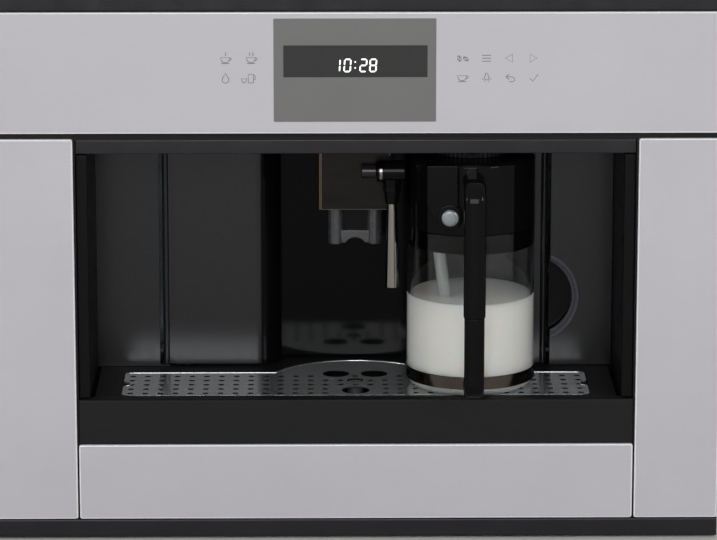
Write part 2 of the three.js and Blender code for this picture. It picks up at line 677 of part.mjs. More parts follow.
// Milk jug: glass beaker, steel band, black lid with its valve housing, dial and handle.
function milkJug(group) {
  const inner = jugRadius - jugWall;
  const foot = 8;
  const glass = turned(jugX, jugY, [
    [0, jugBottom],
    [jugRadius - foot, jugBottom],
    [jugRadius - 0.3 * foot, jugBottom + 0.3 * foot],
    [jugRadius, jugBottom + foot * 0.8],
    [jugRadius, rimZ - seat],
    [inner, rimZ - seat],
    [inner, jugBottom + foot],
    [inner - foot * 0.8, jugBottom + 4],
    [0, jugBottom + 4],
  ]);
  add(group, "jug_glass", glass, clearGlass);

  const bandZ = [jugBottom + bandBottom, jugBottom + bandBottom + bandHeight];
  const bandInner = jugRadius + seat;
  const bandOuter = bandInner + 0.9;
  const band = turned(jugX, jugY, [
    [bandInner, bandZ[0]],
    [bandOuter, bandZ[0]],
    [bandOuter, bandZ[1]],
    [bandInner, bandZ[1]],
    [bandInner, bandZ[0]],
  ]);
  add(group, "jug_band", band, brushedSteel);

  const lid = turned(jugX, jugY, [
    [0, rimZ - lidSkirt],
    [inner - seat, rimZ - lidSkirt],
    [inner - seat, rimZ],
    [jugRadius + 0.2, rimZ],
    [jugRadius + 0.2, lidTop - 3],
    [jugRadius - 2.8, lidTop],
    [0, lidTop],
  ]);
  const socket = barY(jugX, [jugY + jugRadius - 12, jugY + jugRadius + 4], lidTop - 24, 4 + 1.2, 16);
  const dialWell = barZ(jugX, jugY, [lidTop - 6, lidTop + 1], 6 + play, 24);
  const wellY = [jugY - jugRadius - 8, jugY - jugRadius + 7.1];
  const buttonWell = barY(buttonX, wellY, buttonZ, buttonRadius + play, 24);
  add(group, "jug_lid", cut(lid, socket, dialWell, buttonWell), glossBlack);

  // The housing on the lid's front left, with the round boss that the cleaning button sits in.
  const housingX = [jugX - 37.8, jugX - 12.5];
  const housingZ = [rimZ + 14.5, lidTop - 1];
  const radius = (housingX[1] - housingX[0]) / 2;
  const shape = new THREE.Shape();
  shape.moveTo(housingX[1], housingZ[1]);
  shape.lineTo(housingX[0], housingZ[1]);
  shape.lineTo(housingX[0], housingZ[0] + radius);
  shape.absarc(housingX[0] + radius, housingZ[0] + radius, radius, Math.PI, 2 * Math.PI);
  const front = jugY - jugRadius - 2;
  const channel = frontSolid(shape, [front, jugY - 20], 10);
  const boss = barY(buttonX, [front - 1, jugY - 20], buttonZ, 10.5, 32);
  const lidSkin = barZ(jugX, jugY, [rimZ - 5, lidTop + 5], jugRadius + 0.2 + seat, 48);
  const housing = cut(join(channel, boss), lidSkin, buttonWell);
  add(group, "milk_valve_housing", housing, glossBlack);

  // Handle: the grip hooks over the lid's front, and the slimmer arm below it ends on the steel band.
  const gripY = [glassY - gripReach, glassY - gripReach + gripThickness];
  const gripTop = lidTop - 8;
  const gripBottom = gripTop - gripHeight;
  const gripX = [jugX - gripWidth / 2, jugX + gripWidth / 2];
  const hook = new THREE.Shape();
  const bend = 16;
  hook.moveTo(gripY[0], gripBottom);
  hook.lineTo(gripY[0], gripTop - bend);
  hook.absarc(gripY[0] + bend, gripTop - bend, bend, Math.PI, Math.PI / 2, true);
  hook.lineTo(jugY - 40, gripTop);
  hook.lineTo(jugY - 40, gripTop - 11);
  hook.lineTo(gripY[1] + 4, gripTop - 11);
  hook.absarc(gripY[1] + 4, gripTop - 15, 4, Math.PI / 2, Math.PI);
  hook.lineTo(gripY[1], gripBottom);
  add(group, "jug_handle_grip", cut(sideSolid(hook, gripX, 8), lidSkin), glossBlack);

  const armY = [gripY[0] + 1.5, gripY[1] - 1.5];
  const armTop = gripBottom - seat;
  const armBottom = bandZ[0];
  const arm = new THREE.Shape();
  arm.moveTo(armY[0], armTop);
  arm.lineTo(armY[0] + 2, armBottom + 8);
  arm.absarc(armY[0] + 10, armBottom + 8, 8, Math.PI, 1.5 * Math.PI);
  arm.lineTo(jugY - 40, armBottom);
  arm.lineTo(jugY - 40, bandZ[1]);
  arm.lineTo(armY[1] + 3, bandZ[1]);
  arm.absarc(armY[1] + 3, bandZ[1] + 3, 3, 1.5 * Math.PI, Math.PI, true);
  arm.lineTo(armY[1], armTop);
  const bandSkin = barZ(jugX, jugY, [armBottom - 5, bandZ[1] + 5], bandOuter + seat, 48);
  add(group, "jug_handle_arm", cut(sideSolid(arm, [gripX[0] + 0.8, gripX[1] - 0.8], 6), bandSkin), glossBlack);

  // Intake tube, leaning from the lid's underside to the jug's floor; its ends stay level.
  const tubeZ = [jugBottom + 9, rimZ - lidSkirt - seat];
  const tubeTopX = jugX - 26.7;
  const lean = 0.126;
  const tube = barZ(0, jugY - 12, tubeZ, 5.2, 16);
  const shear = new THREE.Matrix4().set(1, 0, -lean, tubeTopX + lean * tubeZ[1], 0, 1, 0, 0, 0, 0, 1, 0, 0, 0, 0, 1);
  const bore = barZ(0, jugY - 12, [tubeZ[0] - 1, tubeZ[1] - 4], 3.6, 12);
  add(group, "milk_intake_tube", cut(tube, bore).applyMatrix4(shear), clearPlastic);
}
const buttonRadius = 6.9;
const buttonX = jugX - 19;
const buttonZ = rimZ + 16;

function milkButton(group) {
  const front = jugY - jugRadius - 6;
  add(group, "cleaning_button", barY(buttonX, [front, front + 10], buttonZ, buttonRadius, 32), silverPlastic);
}

function frothDial(group) {
  const ring = barZ(jugX, jugY, [lidTop + seat, lidTop + dialHeight], 30, 32);
  const stem = barZ(jugX, jugY, [lidTop - 5, lidTop + 1], 6, 24);
  const notch = block([jugX - 1.5, jugX + 1.5], [jugY - 32, jugY - 22], [lidTop + 3, lidTop + dialHeight + 1]);
  add(group, "froth_dial", cut(join(ring, stem), notch), blackPlastic);
}

// Steel shelf over the drip drawer: it carries the tank, the brew unit, the grinder and the boiler.
function innerShelf(group) {
  const half = coverInnerX - 5;
  const y = [wallY + alcoveDepth + doorThickness + 4, rearY - 55];
  const legZ = [panLift + sheet + seat, shelfZ + 1];
  const legX = groundsHalf + 8;
  const pieces = [block([-half, half], y, [shelfZ, shelfTop])];
  for (const [, side] of sides) {
    pieces.push(block(sideRange(side, legX, legX + 2), y, legZ));
    pieces.push(block(sideRange(side, half - 2, half), y, legZ));
  }
  const dropHole = block([brewX - 30, brewX + 30], [brewY - 28, brewY + 28], [shelfZ - 1, shelfTop + 1]);
  add(group, "inner_shelf", cut(join(...pieces), dropHole), zincSteel);
}
const brewY = wallY + alcoveDepth + doorThickness + 8 + 55;

function waterTank(group) {
  const x = [-coverX, -coverX + tankWidth];
  const y = [tankFrontY, tankBackY()];
  const z = [shelfTop + seat, shelfTop + seat + tankHeight];
  const outer = block(x, y, z);
  const middleY = (y[0] + y[1]) / 2;
  const inside = block(
    [x[0] + tankWall, x[1] - tankWall],
    [y[0] + tankWall, y[1] - tankWall],
    [z[0] + tankWall, z[1] + 1],
  );
  const gripPocket = (wall) =>
    block(
      [x[0] - 5, x[0] + gripPocketDepth + wall],
      [middleY - 35 - wall, middleY + 35 + wall],
      [z[1] - 30 - wall, z[1] - 12 + wall],
    );
  const hollow = cut(inside, gripPocket(tankWall));
  add(group, "water_tank", cut(outer, hollow, gripPocket(0)), clearPlastic);
}

// Brew unit: a frame with the brewing cylinder, and the piston that presses the coffee into it.
function brewUnit(group, pistonGroup) {
  const z = [shelfTop + seat, shelfTop + seat + brewHeight];
  const x = [brewX - brewHalf, brewX + brewHalf];
  const y = [brewY - 50, brewY + 50];
  const outer = block(x, y, z);
  const bay = block([x[0] + 8, x[1] - 8], [y[0] - 1, y[1] - 8], [z[0] + 12, z[1] - 12]);
  const drop = barZ(brewX, brewY, [z[0] - 1, z[0] + 13], 26, 24);
  const cylinderZ = [z[0] + 24, z[0] + 70];
  const cylinder = barZ(brewX, brewY, cylinderZ, 30, 32);
  const arm = block([brewX - 12, brewX + 12], [brewY, y[1] - 4], [cylinderZ[0] + 6, cylinderZ[1] - 6]);
  const bore = barZ(brewX, brewY, [cylinderZ[0] - 1, cylinderZ[1] + 1], 24, 32);
  const rodHole = barZ(brewX, brewY, [z[1] - 13, z[1] + 1], 8 + play, 20);
  const frame = cut(outer, bay, drop, rodHole);
  add(group, "brew_frame", join(frame, cut(join(cylinder, arm), bore)), greyPlastic);
  const head = barZ(brewX, brewY, [cylinderZ[1] - 4, cylinderZ[1] + 14], 24 - play, 32);
  const rod = barZ(brewX, brewY, [cylinderZ[1] + 13, z[1] + 22], 8, 20);
  add(pistonGroup, "brew_piston", join(head, rod), greyPlastic);
}

// Bean hopper on top of the grinder, which stands on its motor.
function grinderColumn(group, burrGroup) {
  const y = hopperFrontY + grinderOffset;
  const hopperTop = coverTop - 3.3;
  const hopperZ = [hopperTop - hopperHeight, hopperTop];
  const x = [hopperX - hopperWidth / 2, hopperX + hopperWidth / 2];
  const outer = block(x, [hopperFrontY, hopperBackY()], hopperZ);
  const inside = block(
    [x[0] + hopperWall, x[1] - hopperWall],
    [hopperFrontY + hopperWall, hopperBackY() - hopperWall],
    [hopperZ[0] + hopperWall, hopperZ[1] + 1],
  );
  const throat = barZ(hopperX, y, [hopperZ[0] - 1, hopperZ[0] + 5], 18, 24);
  const ears = [x[0] + 8, x[1] - 12].map((left) =>
    block([left, left + 4], [hopperBackY() - 2, hopperBackY() + 5], [hopperZ[1] - 8, hopperZ[1] + 6.5]),
  );
  const pins = [
    barX([x[0] + 11, x[0] + 18], lidAxisY(), lidAxisZ, 1.2, 12),
    barX([x[1] - 18, x[1] - 11], lidAxisY(), lidAxisZ, 1.2, 12),
  ];
  add(group, "bean_hopper", join(cut(outer, inside, throat), ...ears, ...pins), darkSmoke);

  const grinderZ = [hopperZ[0] - seat - grinderHeight, hopperZ[0] - seat];
  const body = barZ(hopperX, y, grinderZ, grinderRadius, 32);
  const bowl = barZ(hopperX, y, [grinderZ[0] + 6, grinderZ[1] + 1], grinderRadius - 6, 32);
  const upperBurr = barZ(hopperX, y, [grinderZ[1] - 24, grinderZ[1]], grinderRadius - 5.5, 32);
  const burrCone = barZ(hopperX, y, [grinderZ[1] - 25, grinderZ[1] + 1], 26, 32, 18);
  const shaftHole = barZ(hopperX, y, [grinderZ[0] - 1, grinderZ[0] + 7], 5 + play, 20);
  const chuteZ = Math.max(grinderZ[0] + 8, shelfTop + brewHeight + 2 * seat);
  const chuteX = [brewX + brewHalf - 16, hopperX - grinderRadius + 9];
  const chute = block(chuteX, [y - 9, y + 9], [chuteZ, chuteZ + 16]);
  const chuteBore = block([chuteX[0] + 2, chuteX[1] + 1], [y - 7, y + 7], [chuteZ - 1, chuteZ + 14]);
  const housing = cut(join(cut(body, bowl), cut(upperBurr, burrCone), chute), shaftHole, chuteBore);
  add(group, "grinder_housing", housing, blackPlastic);
  const cone = barZ(hopperX, y, [grinderZ[1] - 27, grinderZ[1] - 3], 24.5, 24, 17);
  const shaft = barZ(hopperX, y, [grinderZ[0] - 6, grinderZ[1] - 26], 5, 16);
  add(burrGroup, "grinder_burr", join(cone, shaft), zincSteel);
  const motorTop = grinderZ[0] - seat;
  const motor = barZ(hopperX, y, [shelfTop + seat, motorTop], motorRadius, 32);
  const shaftWell = barZ(hopperX, y, [motorTop - 8, motorTop + 1], 5 + play, 20);
  add(group, "grinder_motor", cut(motor, shaftWell), zincSteel);
}
const lidAxisY = () => hopperBackY() + 2.5;
const lidAxisZ = coverTop + 0.6;

function hopperLid(group) {
  const x = [hopperX - hopperWidth / 2, hopperX + hopperWidth / 2];
  const y = [hopperFrontY, hopperBackY() + 0.5];
  const lid = planSolid(roundedOutline(x, y, 4), [coverTop - 3, coverTop], 3);
  const earRoom = [x[0] + 7, x[1] - 13].map((left) =>
    block([left, left + 6], [hopperBackY() - 3, hopperBackY() + 6], [coverTop - 4, coverTop + 4]),
  );
  const barrelX = [x[0] + 12 + seat, x[1] - 12 - seat];
  const barrel = barX(barrelX, lidAxisY(), lidAxisZ, 2.2, 16);
  const web = block(barrelX, [hopperBackY() - 1, lidAxisY()], [coverTop - 2, coverTop + 0.8]);
  const bores = [
    barX([barrelX[0] - 1, barrelX[0] + 7], lidAxisY(), lidAxisZ, 1.2 + seat, 12),
    barX([barrelX[1] - 7, barrelX[1] + 1], lidAxisY(), lidAxisZ, 1.2 + seat, 12),
  ];
  const lidWithRoom = cut(lid, ...earRoom);
  add(group, "bean_hopper_lid", cut(join(lidWithRoom, barrel, web), ...bores), darkSmoke);
}

function grindKnob(group) {
  const cap = barZ(knobX, knobY, [coverTop + seat, coverTop + 4.5], 14, 24);
  const shaft = barZ(knobX, knobY, [coverTop - 16, coverTop + 1], 4, 16);
  const pointer = block([knobX - 1, knobX + 1], [knobY - 15, knobY - 7], [coverTop + 3, coverTop + 6]);
  add(group, "grind_knob", cut(join(cap, shaft), pointer), blackPlastic);
}

// Pump, boiler, electronics and mains inlet on the right-hand side.
function services(group) {
  const pumpX = coverInnerX - 58;
  const pumpY = [wallY + 55, wallY + 155];
  const pumpZ = panLift + sheet + 36;
  const saddle = block([pumpX - 12, pumpX + 12], [pumpY[0] + 20, pumpY[0] + 60], [panLift + sheet + seat, pumpZ]);
  const coil = barY(pumpX, [pumpY[0] + 15, pumpY[0] + 65], pumpZ, 20, 24);
  const stem = barY(pumpX, pumpY, pumpZ, 8, 16);
  add(group, "pump", join(saddle, coil, stem), blackPlastic);

  const boilerX = coverInnerX - 62;
  const boilerY = wallY + 90;
  const boilerZ = [shelfTop + seat, shelfTop + seat + 110];
  const boilerBody = barZ(boilerX, boilerY, boilerZ, 34, 32);
  const flange = barZ(boilerX, boilerY, [boilerZ[0] + 50, boilerZ[0] + 58], 39, 32);
  add(group, "boiler", join(boilerBody, flange), aluminium);

  const boardX = [coverInnerX - 13, coverInnerX - 11.4];
  const boardY = [wallY + 45, rearY - 30];
  const boardZ = [shelfTop + 130, coverTop - 50];
  const pieces = [block(boardX, boardY, boardZ)];
  for (const y of [boardY[0] + 8, boardY[1] - 8])
    for (const z of [boardZ[0] + 8, boardZ[1] - 8])
      pieces.push(barX([boardX[1] - 0.5, coverInnerX - seat], y, z, 3, 8));
  const componentDepth = 16;
  for (let i = 0; i < 3; i++) {
    const y = boardY[0] + 20 + 45 * i;
    const x = [boardX[0] - componentDepth, boardX[0] + 0.5];
    pieces.push(block(x, [y, y + 26], [boardZ[0] + 20, boardZ[0] + 60]));
  }
  add(group, "control_board", join(...pieces), boardGreen);

  const inletZRange = [inletZ - 11 + seat, inletZ + 11 - seat];
  const inletBody = block([inletX - 15 + seat, inletX + 15 - seat], [rearY - 22, rearY + 1], inletZRange);
  const flangePlate = block([inletX - 21, inletX + 21], [rearY + seat, rearY + 3], [inletZ - 14, inletZ + 14]);
  const well = block([inletX - 12, inletX + 12], [rearY - 16, rearY + 4], [inletZ - 8, inletZ + 8]);
  const blades = [-7, 0, 7].map((dx, i) => {
    const z = inletZ + (i === 1 ? 3 : -2);
    return block([inletX + dx - 1, inletX + dx + 1], [rearY - 17, rearY - 2], [z - 2.5, z + 2.5]);
  });
  add(group, "mains_inlet", join(cut(join(inletBody, flangePlate), well), ...blades), blackPlastic);
}

const niche = bodyGroup();
const railCarriage = bodyGroup();
const chassis = bodyGroup();
nicheBase(niche);
rails(niche, railCarriage, chassis);
chassisPan(chassis);
covers(chassis);
frontFrame(chassis);
glassPanels(chassis);
trims(chassis);
cavityShell(chassis);
innerShelf(chassis);
services(chassis);
brewUnit(chassis, bodyGroup());
grinderColumn(chassis, bodyGroup());
hopperLid(bodyGroup());
grindKnob(bodyGroup());
waterTank(bodyGroup());
dripDrawer(bodyGroup());
trayFloat(bodyGroup());
serviceDoor(bodyGroup());
coffeeSpout(bodyGroup());
milkSpout(bodyGroup());
milkJug(bodyGroup());
milkButton(bodyGroup());
frothDial(bodyGroup());

export default machine;
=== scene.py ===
# %% [markdown]
# # A built-in coffee machine with a milk jug
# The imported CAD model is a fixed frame, and this script dresses it. Every piece is made where its CAD
# solid stands and rides on the same moving body, so the drawer, the door, the spouts and the jug keep
# their looks when they move. Loading the frame comes first because all other pieces are placed in it.

# %% Load the frame
import math

import bmesh
import bpy
from mathutils import Matrix, Vector


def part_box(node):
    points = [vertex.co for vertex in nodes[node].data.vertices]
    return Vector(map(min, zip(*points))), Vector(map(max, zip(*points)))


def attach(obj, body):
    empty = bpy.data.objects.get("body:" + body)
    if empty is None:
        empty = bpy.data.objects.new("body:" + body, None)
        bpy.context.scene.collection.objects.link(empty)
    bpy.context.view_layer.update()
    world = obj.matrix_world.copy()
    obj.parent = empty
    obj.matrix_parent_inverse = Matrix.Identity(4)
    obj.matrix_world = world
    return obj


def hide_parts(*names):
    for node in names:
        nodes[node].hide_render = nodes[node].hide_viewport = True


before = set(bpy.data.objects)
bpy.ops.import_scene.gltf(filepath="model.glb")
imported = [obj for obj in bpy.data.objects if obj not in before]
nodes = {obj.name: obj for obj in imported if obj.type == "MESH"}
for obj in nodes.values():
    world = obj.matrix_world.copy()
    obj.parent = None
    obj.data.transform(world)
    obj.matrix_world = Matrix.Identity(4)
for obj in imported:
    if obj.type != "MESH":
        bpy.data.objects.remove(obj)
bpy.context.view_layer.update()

# %% [markdown]
# ## Colours and shader nodes
# Blender's colour sockets take linear light, but a colour read off a screen is sRGB, so each colour is
# written as a hex value and one function turns it to linear. One more function adds a shader node with
# its settings and its links, which keeps each finish below short enough to read.

# %% Colours
MM = 0.001


def linear(colour):
    """An sRGB hex colour as the linear RGBA that a socket takes."""
    parts = [int(colour[i : i + 2], 16) / 255 for i in (1, 3, 5)]
    return tuple(p / 12.92 if p <= 0.04045 else ((p + 0.055) / 1.055) ** 2.4 for p in parts) + (1.0,)


print("a middle grey is", round(linear("#808080")[0], 3), "in linear light")


# %% Shader nodes
def add_node(tree, kind, inputs, **settings):
    """Adds one shader node; inputs are values, or other nodes' output sockets to link."""
    made = tree.nodes.new(kind)
    for name, value in settings.items():
        setattr(made, name, value)
    for name, value in inputs.items():
        if isinstance(value, bpy.types.NodeSocket):
            tree.links.new(value, made.inputs[name])
        else:
            made.inputs[name].default_value = value
    return made


def plain_shader(name, values):
    """A new material, its node tree and its shader, with uniform values set on the shader itself."""
    material = bpy.data.materials.new(name)
    material.use_nodes = True
    shader = material.node_tree.nodes["Principled BSDF"]
    for socket, value in values.items():
        shader.inputs[socket].default_value = value
    return material, material.node_tree, shader


def object_space(tree, grain_mm, stretch=(1, 1, 1)):
    """Coordinates in which one unit is one grain of the given size, stretched along each axis."""
    place = add_node(tree, "ShaderNodeTexCoord", {})
    scale = [1 / (grain_mm * MM * s) for s in stretch]
    return add_node(
        tree, "ShaderNodeMapping", {"Vector": place.outputs["Object"], "Scale": scale}
    ).outputs[0]


print("helpers for shader nodes are ready")


# %% A finish that varies
def noise_finish(name, dark, light, grain_mm, rough, relief_mm=0.0, stretch=(1, 1, 1), **values):
    """A finish whose colour, roughness and relief vary together, in grains of a real size."""
    named = {key.replace("_", " ").title().replace("Ior", "IOR"): v for key, v in values.items()}
    material, tree, shader = plain_shader(name, named)
    vector = object_space(tree, grain_mm, stretch)
    noise = add_node(tree, "ShaderNodeTexNoise", {"Vector": vector, "Scale": 1.0, "Detail": 3.0})
    mix = add_node(
        tree, "ShaderNodeMix", {0: noise.outputs[0], 6: linear(dark), 7: linear(light)}, data_type="RGBA"
    )
    # Noise seldom leaves the range from 0.3 to 0.7, so that range is spread over the roughness.
    smooth, matt = rough
    spread = add_node(
        tree, "ShaderNodeMapRange",
        {"Value": noise.outputs[0], "From Min": 0.3, "From Max": 0.7, "To Min": smooth, "To Max": matt},
    )
    tree.links.new(mix.outputs[2], shader.inputs["Base Color"])
    tree.links.new(spread.outputs[0], shader.inputs["Roughness"])
    if relief_mm:
        bump = add_node(tree, "ShaderNodeBump", {"Height": noise.outputs[0], "Distance": relief_mm * MM})
        tree.links.new(bump.outputs[0], shader.inputs["Normal"])
    return material


print("noise finish is ready")

# %% [markdown]
# ## Mesh helpers
# The pieces are sheet metal, glass and mouldings, so nearly all of them are outlines pushed along an
# axis, profiles turned about an axis, or boxes with rounded edges. Real edges are never perfectly sharp:
# even a small rounding catches the light, which is what makes a modelled part look real. The helpers work
# in millimetres, as the CAD does, and `finish_piece` scales the result to metres at the end.


# %% Outlines
def arc(cx, cy, radius, start, end, steps=12):
    """Points on a circle, from one angle to another in degrees."""
    angles = [math.radians(start + (end - start) * i / steps) for i in range(steps + 1)]
    return [(cx + radius * math.cos(a), cy + radius * math.sin(a)) for a in angles]


def soften(points, radius, steps=3, closed=True):
    """Rounds each corner of an outline with a short curve."""
    made = []
    for i, corner in enumerate(points):
        if not closed and i in (0, len(points) - 1):
            made.append(tuple(corner))
            continue
        here = Vector(corner)
        back, ahead = Vector(points[i - 1]) - here, Vector(points[(i + 1) % len(points)]) - here
        reach = min(radius, back.length * 0.45, ahead.length * 0.45)
        start, end = here + back.normalized() * reach, here + ahead.normalized() * reach
        for k in range(steps + 1):
            t = k / steps
            made.append(tuple(start * (1 - t) ** 2 + here * 2 * t * (1 - t) + end * t * t))
    return made


def rectangle(x0, x1, y0, y1):
    """The corners of a rectangle from its two ranges."""
    return [(x0, y0), (x1, y0), (x1, y1), (x0, y1)]


print("helpers for outlines are ready")


# %% Pushed outlines
def round_edges(bm, edges, width, steps=2):
    """Rounds edges by bevelling them in a few steps."""
    bmesh.ops.bevel(
        bm, geom=list(edges), offset=width, segments=steps, profile=0.5, affect="EDGES",
        clamp_overlap=True,
    )


def prism(outline, low, high, axis="z", bevel=0.0, steps=2):
    """Pushes a closed outline along an axis: (x, y) along z, (x, z) along y, (y, z) along x."""
    place = {
        "z": lambda a, b, c: (a, b, c),
        "y": lambda a, b, c: (a, c, b),
        "x": lambda a, b, c: (c, a, b),
    }[axis]
    bm = bmesh.new()
    rings = [[bm.verts.new(place(a, b, c)) for a, b in outline] for c in (low, high)]
    caps = [bm.faces.new(ring) for ring in rings]
    for i in range(len(outline)):
        j = (i + 1) % len(outline)
        bm.faces.new((rings[0][i], rings[0][j], rings[1][j], rings[1][i]))
    bmesh.ops.recalc_face_normals(bm, faces=bm.faces)
    if bevel:
        round_edges(bm, [edge for cap in caps for edge in cap.edges], bevel, steps)
    return bm


def slab(x, y, z, bevel=0.5, steps=2):
    """A box from three ranges, with every edge rounded."""
    bm = prism(rectangle(*x, *y), *z)
    if bevel:
        round_edges(bm, bm.edges, bevel, steps)
    return bm


print("helpers for pushed outlines are ready")


# %% Turned profiles
def lathe(profile, centre=(0, 0), steps=96, closed=False):
    """Turns a profile of (radius, height) points about a vertical axis."""
    bm = bmesh.new()
    turns = [2 * math.pi * i / steps for i in range(steps)]
    rings = []
    for radius, z in profile:
        if radius < 1e-6:
            rings.append([bm.verts.new((*centre, z))])
        else:
            rings.append([
                bm.verts.new((centre[0] + radius * math.cos(a), centre[1] + radius * math.sin(a), z))
                for a in turns
            ])
    pairs = list(zip(rings, rings[1:])) + ([(rings[-1], rings[0])] if closed else [])
    for lower, upper in pairs:
        for i in range(steps):
            j = (i + 1) % steps
            bottom = lower if len(lower) == 1 else [lower[i], lower[j]]
            top = upper if len(upper) == 1 else [upper[j], upper[i]]
            if len(bottom) + len(top) > 2:
                bm.faces.new(bottom + top)
    bmesh.ops.recalc_face_normals(bm, faces=bm.faces)
    return bm


def bar(start, end, radius, edge=0.4, steps=32, bore=0.0, end_radius=None):
    """A round bar or tube between two points, with rounded rims."""
    start, end = Vector(start), Vector(end)
    length = (end - start).length
    last = end_radius or radius
    if bore:
        profile = soften([(bore, 0), (radius, 0), (last, length), (bore, length)], edge)
    else:
        profile = soften([(0, 0), (radius, 0), (last, length), (0, length)], edge, closed=False)
    bm = lathe(profile, steps=steps, closed=bool(bore))
    turn = (end - start).to_track_quat("Z", "Y").to_matrix().to_4x4()
    bmesh.ops.transform(bm, matrix=Matrix.Translation(start) @ turn, verts=bm.verts)
    return bm


print("helpers for turned profiles are ready")


# %% Painting, joining and cutting
def paint(bm, index, chosen=lambda face: True):
    """Gives the chosen faces of a mesh the piece's material of that number."""
    for face in bm.faces:
        if chosen(face):
            face.material_index = index
    return bm


def facing(axis, flatness):
    """Chooses the faces that don't look along an axis: the edges of a pane or a sheet."""
    return lambda face: abs(face.normal["xyz".index(axis)]) <= flatness


def merge(first, *others):
    """Puts several meshes into the first, and frees the others."""
    for other in others:
        scrap = bpy.data.meshes.new("scrap")
        other.to_mesh(scrap)
        other.free()
        first.from_mesh(scrap)
        bpy.data.meshes.remove(scrap)
    return first


def carve(bm, *cutters, operation="DIFFERENCE"):
    """Cuts the cutters out of a mesh, or joins them to it, with an exact boolean."""

    def stand(part, name):
        mesh = bpy.data.meshes.new(name)
        part.to_mesh(mesh)
        part.free()
        made = bpy.data.objects.new(name, mesh)
        bpy.context.scene.collection.objects.link(made)
        return made

    target, tool = stand(bm, "carve_target"), stand(merge(*cutters), "carve_tool")
    modifier = target.modifiers.new("carve", "BOOLEAN")
    modifier.operation, modifier.solver, modifier.object = operation, "EXACT", tool
    modifier.use_self = len(cutters) > 1
    graph = bpy.context.evaluated_depsgraph_get()
    mesh = bpy.data.meshes.new_from_object(target.evaluated_get(graph))
    made = bmesh.new()
    made.from_mesh(mesh)
    bmesh.ops.remove_doubles(made, verts=made.verts, dist=0.002)
    for scrap in (target, tool):
        data = scrap.data
        bpy.data.objects.remove(scrap)
        bpy.data.meshes.remove(data)
    bpy.data.meshes.remove(mesh)
    return made


print("helpers for painting, joining and cutting are ready")

# %% Finished pieces
made_pieces = []


def fix_order(bm):
    """Lists points, edges and faces by their places, because a bevel's own order varies from run to run."""
    for i, vert in enumerate(sorted(bm.verts, key=lambda vert: tuple(vert.co))):
        vert.index = i
    bm.verts.sort()
    for group in (bm.edges, bm.faces):
        for i, part in enumerate(sorted(group, key=lambda part: sorted(v.index for v in part.verts))):
            part.index = i
        group.sort()


def finish_piece(name, bm, materials, body, replaced=(), sharp=32):
    """Turns a mesh in millimetres into an object in metres that rides on a body.

    Smooth shading would tilt the normals of a large flat face towards its rounded edges and give it a
    false gradient. Weighting the normals by the faces' areas keeps the flat faces flat.
    """
    bmesh.ops.scale(bm, vec=(MM, MM, MM), verts=bm.verts)
    bmesh.ops.recalc_face_normals(bm, faces=bm.faces)
    limit = math.radians(sharp)
    for face in bm.faces:
        face.smooth = True
    for edge in bm.edges:
        edge.smooth = len(edge.link_faces) == 2 and edge.calc_face_angle(0) < limit
    fix_order(bm)
    mesh = bpy.data.meshes.new(name)
    bm.to_mesh(mesh)
    bm.free()
    for material in materials if isinstance(materials, (list, tuple)) else [materials]:
        mesh.materials.append(material)
    made = bpy.data.objects.new(name, mesh)
    bpy.context.scene.collection.objects.link(made)
    weighting = made.modifiers.new("flat_faces_stay_flat", "WEIGHTED_NORMAL")
    weighting.keep_sharp, weighting.weight = True, 100
    graph = bpy.context.evaluated_depsgraph_get()
    made.data = bpy.data.meshes.new_from_object(made.evaluated_get(graph))
    made.data.name = name
    made.modifiers.clear()
    bpy.data.meshes.remove(mesh)
    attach(made, body)
    if replaced:
        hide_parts(*((replaced,) if isinstance(replaced, str) else replaced))
    made_pieces.append(name)
    return made


def coat(material, *names):
    """Gives CAD nodes that keep their own shape a better material."""
    for name in names:
        for place in nodes[name].material_slots:
            place.material = material


def ranges(node):
    """A CAD node's extent along x, y and z, in millimetres."""
    low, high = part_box(node)
    return [(low[i] / MM, high[i] / MM) for i in range(3)]


print("helpers for finished pieces are ready")

# %% [markdown]
# ## Glass finishes
# The front is float glass with a pale mauve-grey paint fired on its back: the paint is a rough base, and
# the glass over it is the shader's coat. The display's window is a smoked print, with a liquid-crystal
# panel behind it whose segments light up. The jug is borosilicate glass, so its shader transmits light,
# and a darker specular tint calms its reflection of the pale studio. The comment on each finish says
# what it gives the eye. The size of its grain, in millimetres, is the real one unless the comment says
# otherwise.

# %% Painted, ground and clear glass
# Paint under glass: a soft colour that drifts a little over 90 mm, below a clear and sharp gloss.
painted_glass = noise_finish(
    "back_painted_float_glass", "#B4B1B9", "#BCBAC1", 90, (0.34, 0.42),
    coat_weight=1.0, coat_roughness=0.06, ior=1.5,
)
# The glass edges are painted nearly white: a painted highlight for the bright line of light along each
# pane.
painted_edge_highlight = noise_finish(
    "glass_edge_painted_highlight", "#DCDDE0", "#F2F3F5", 2, (0.18, 0.3), coat_weight=0.6, ior=1.5
)
# The smoked print is an even grey with hardly any gloss.
smoked_window = noise_finish(
    "smoked_display_window", "#6A6A6A", "#707070", 40, (0.4, 0.46), specular_ior_level=0.3
)
# The panel is darker still, so that lit segments stand out from it.
display_panel = noise_finish(
    "liquid_crystal_panel", "#2B2B2B", "#303030", 3, (0.4, 0.46), specular_ior_level=0.2
)
# Ink is a thin matt film, darker than the paint round it.
printed_ink = noise_finish("screen_printed_ink", "#544E4A", "#605A55", 1, (0.5, 0.6))
# A lit segment gives light of its own, close to white but not above it.
lit_segment = noise_finish(
    "lit_display_segment", "#FFFFFF", "#F4F6F6", 4, (0.4, 0.5),
    emission_color=linear("#F6FAFA"), emission_strength=0.9,
)
# Blown glass waves slightly over 30 mm, which bends what is seen through it by a trace.
clear_glass = noise_finish(
    "borosilicate_glass", "#FCFEFE", "#FFFFFF", 30, (0.0, 0.03), relief_mm=0.03,
    transmission_weight=1.0, ior=1.47, specular_tint=linear("#A8A8A8"),
)
print("glass finishes:", painted_glass.name, painted_edge_highlight.name, clear_glass.name)

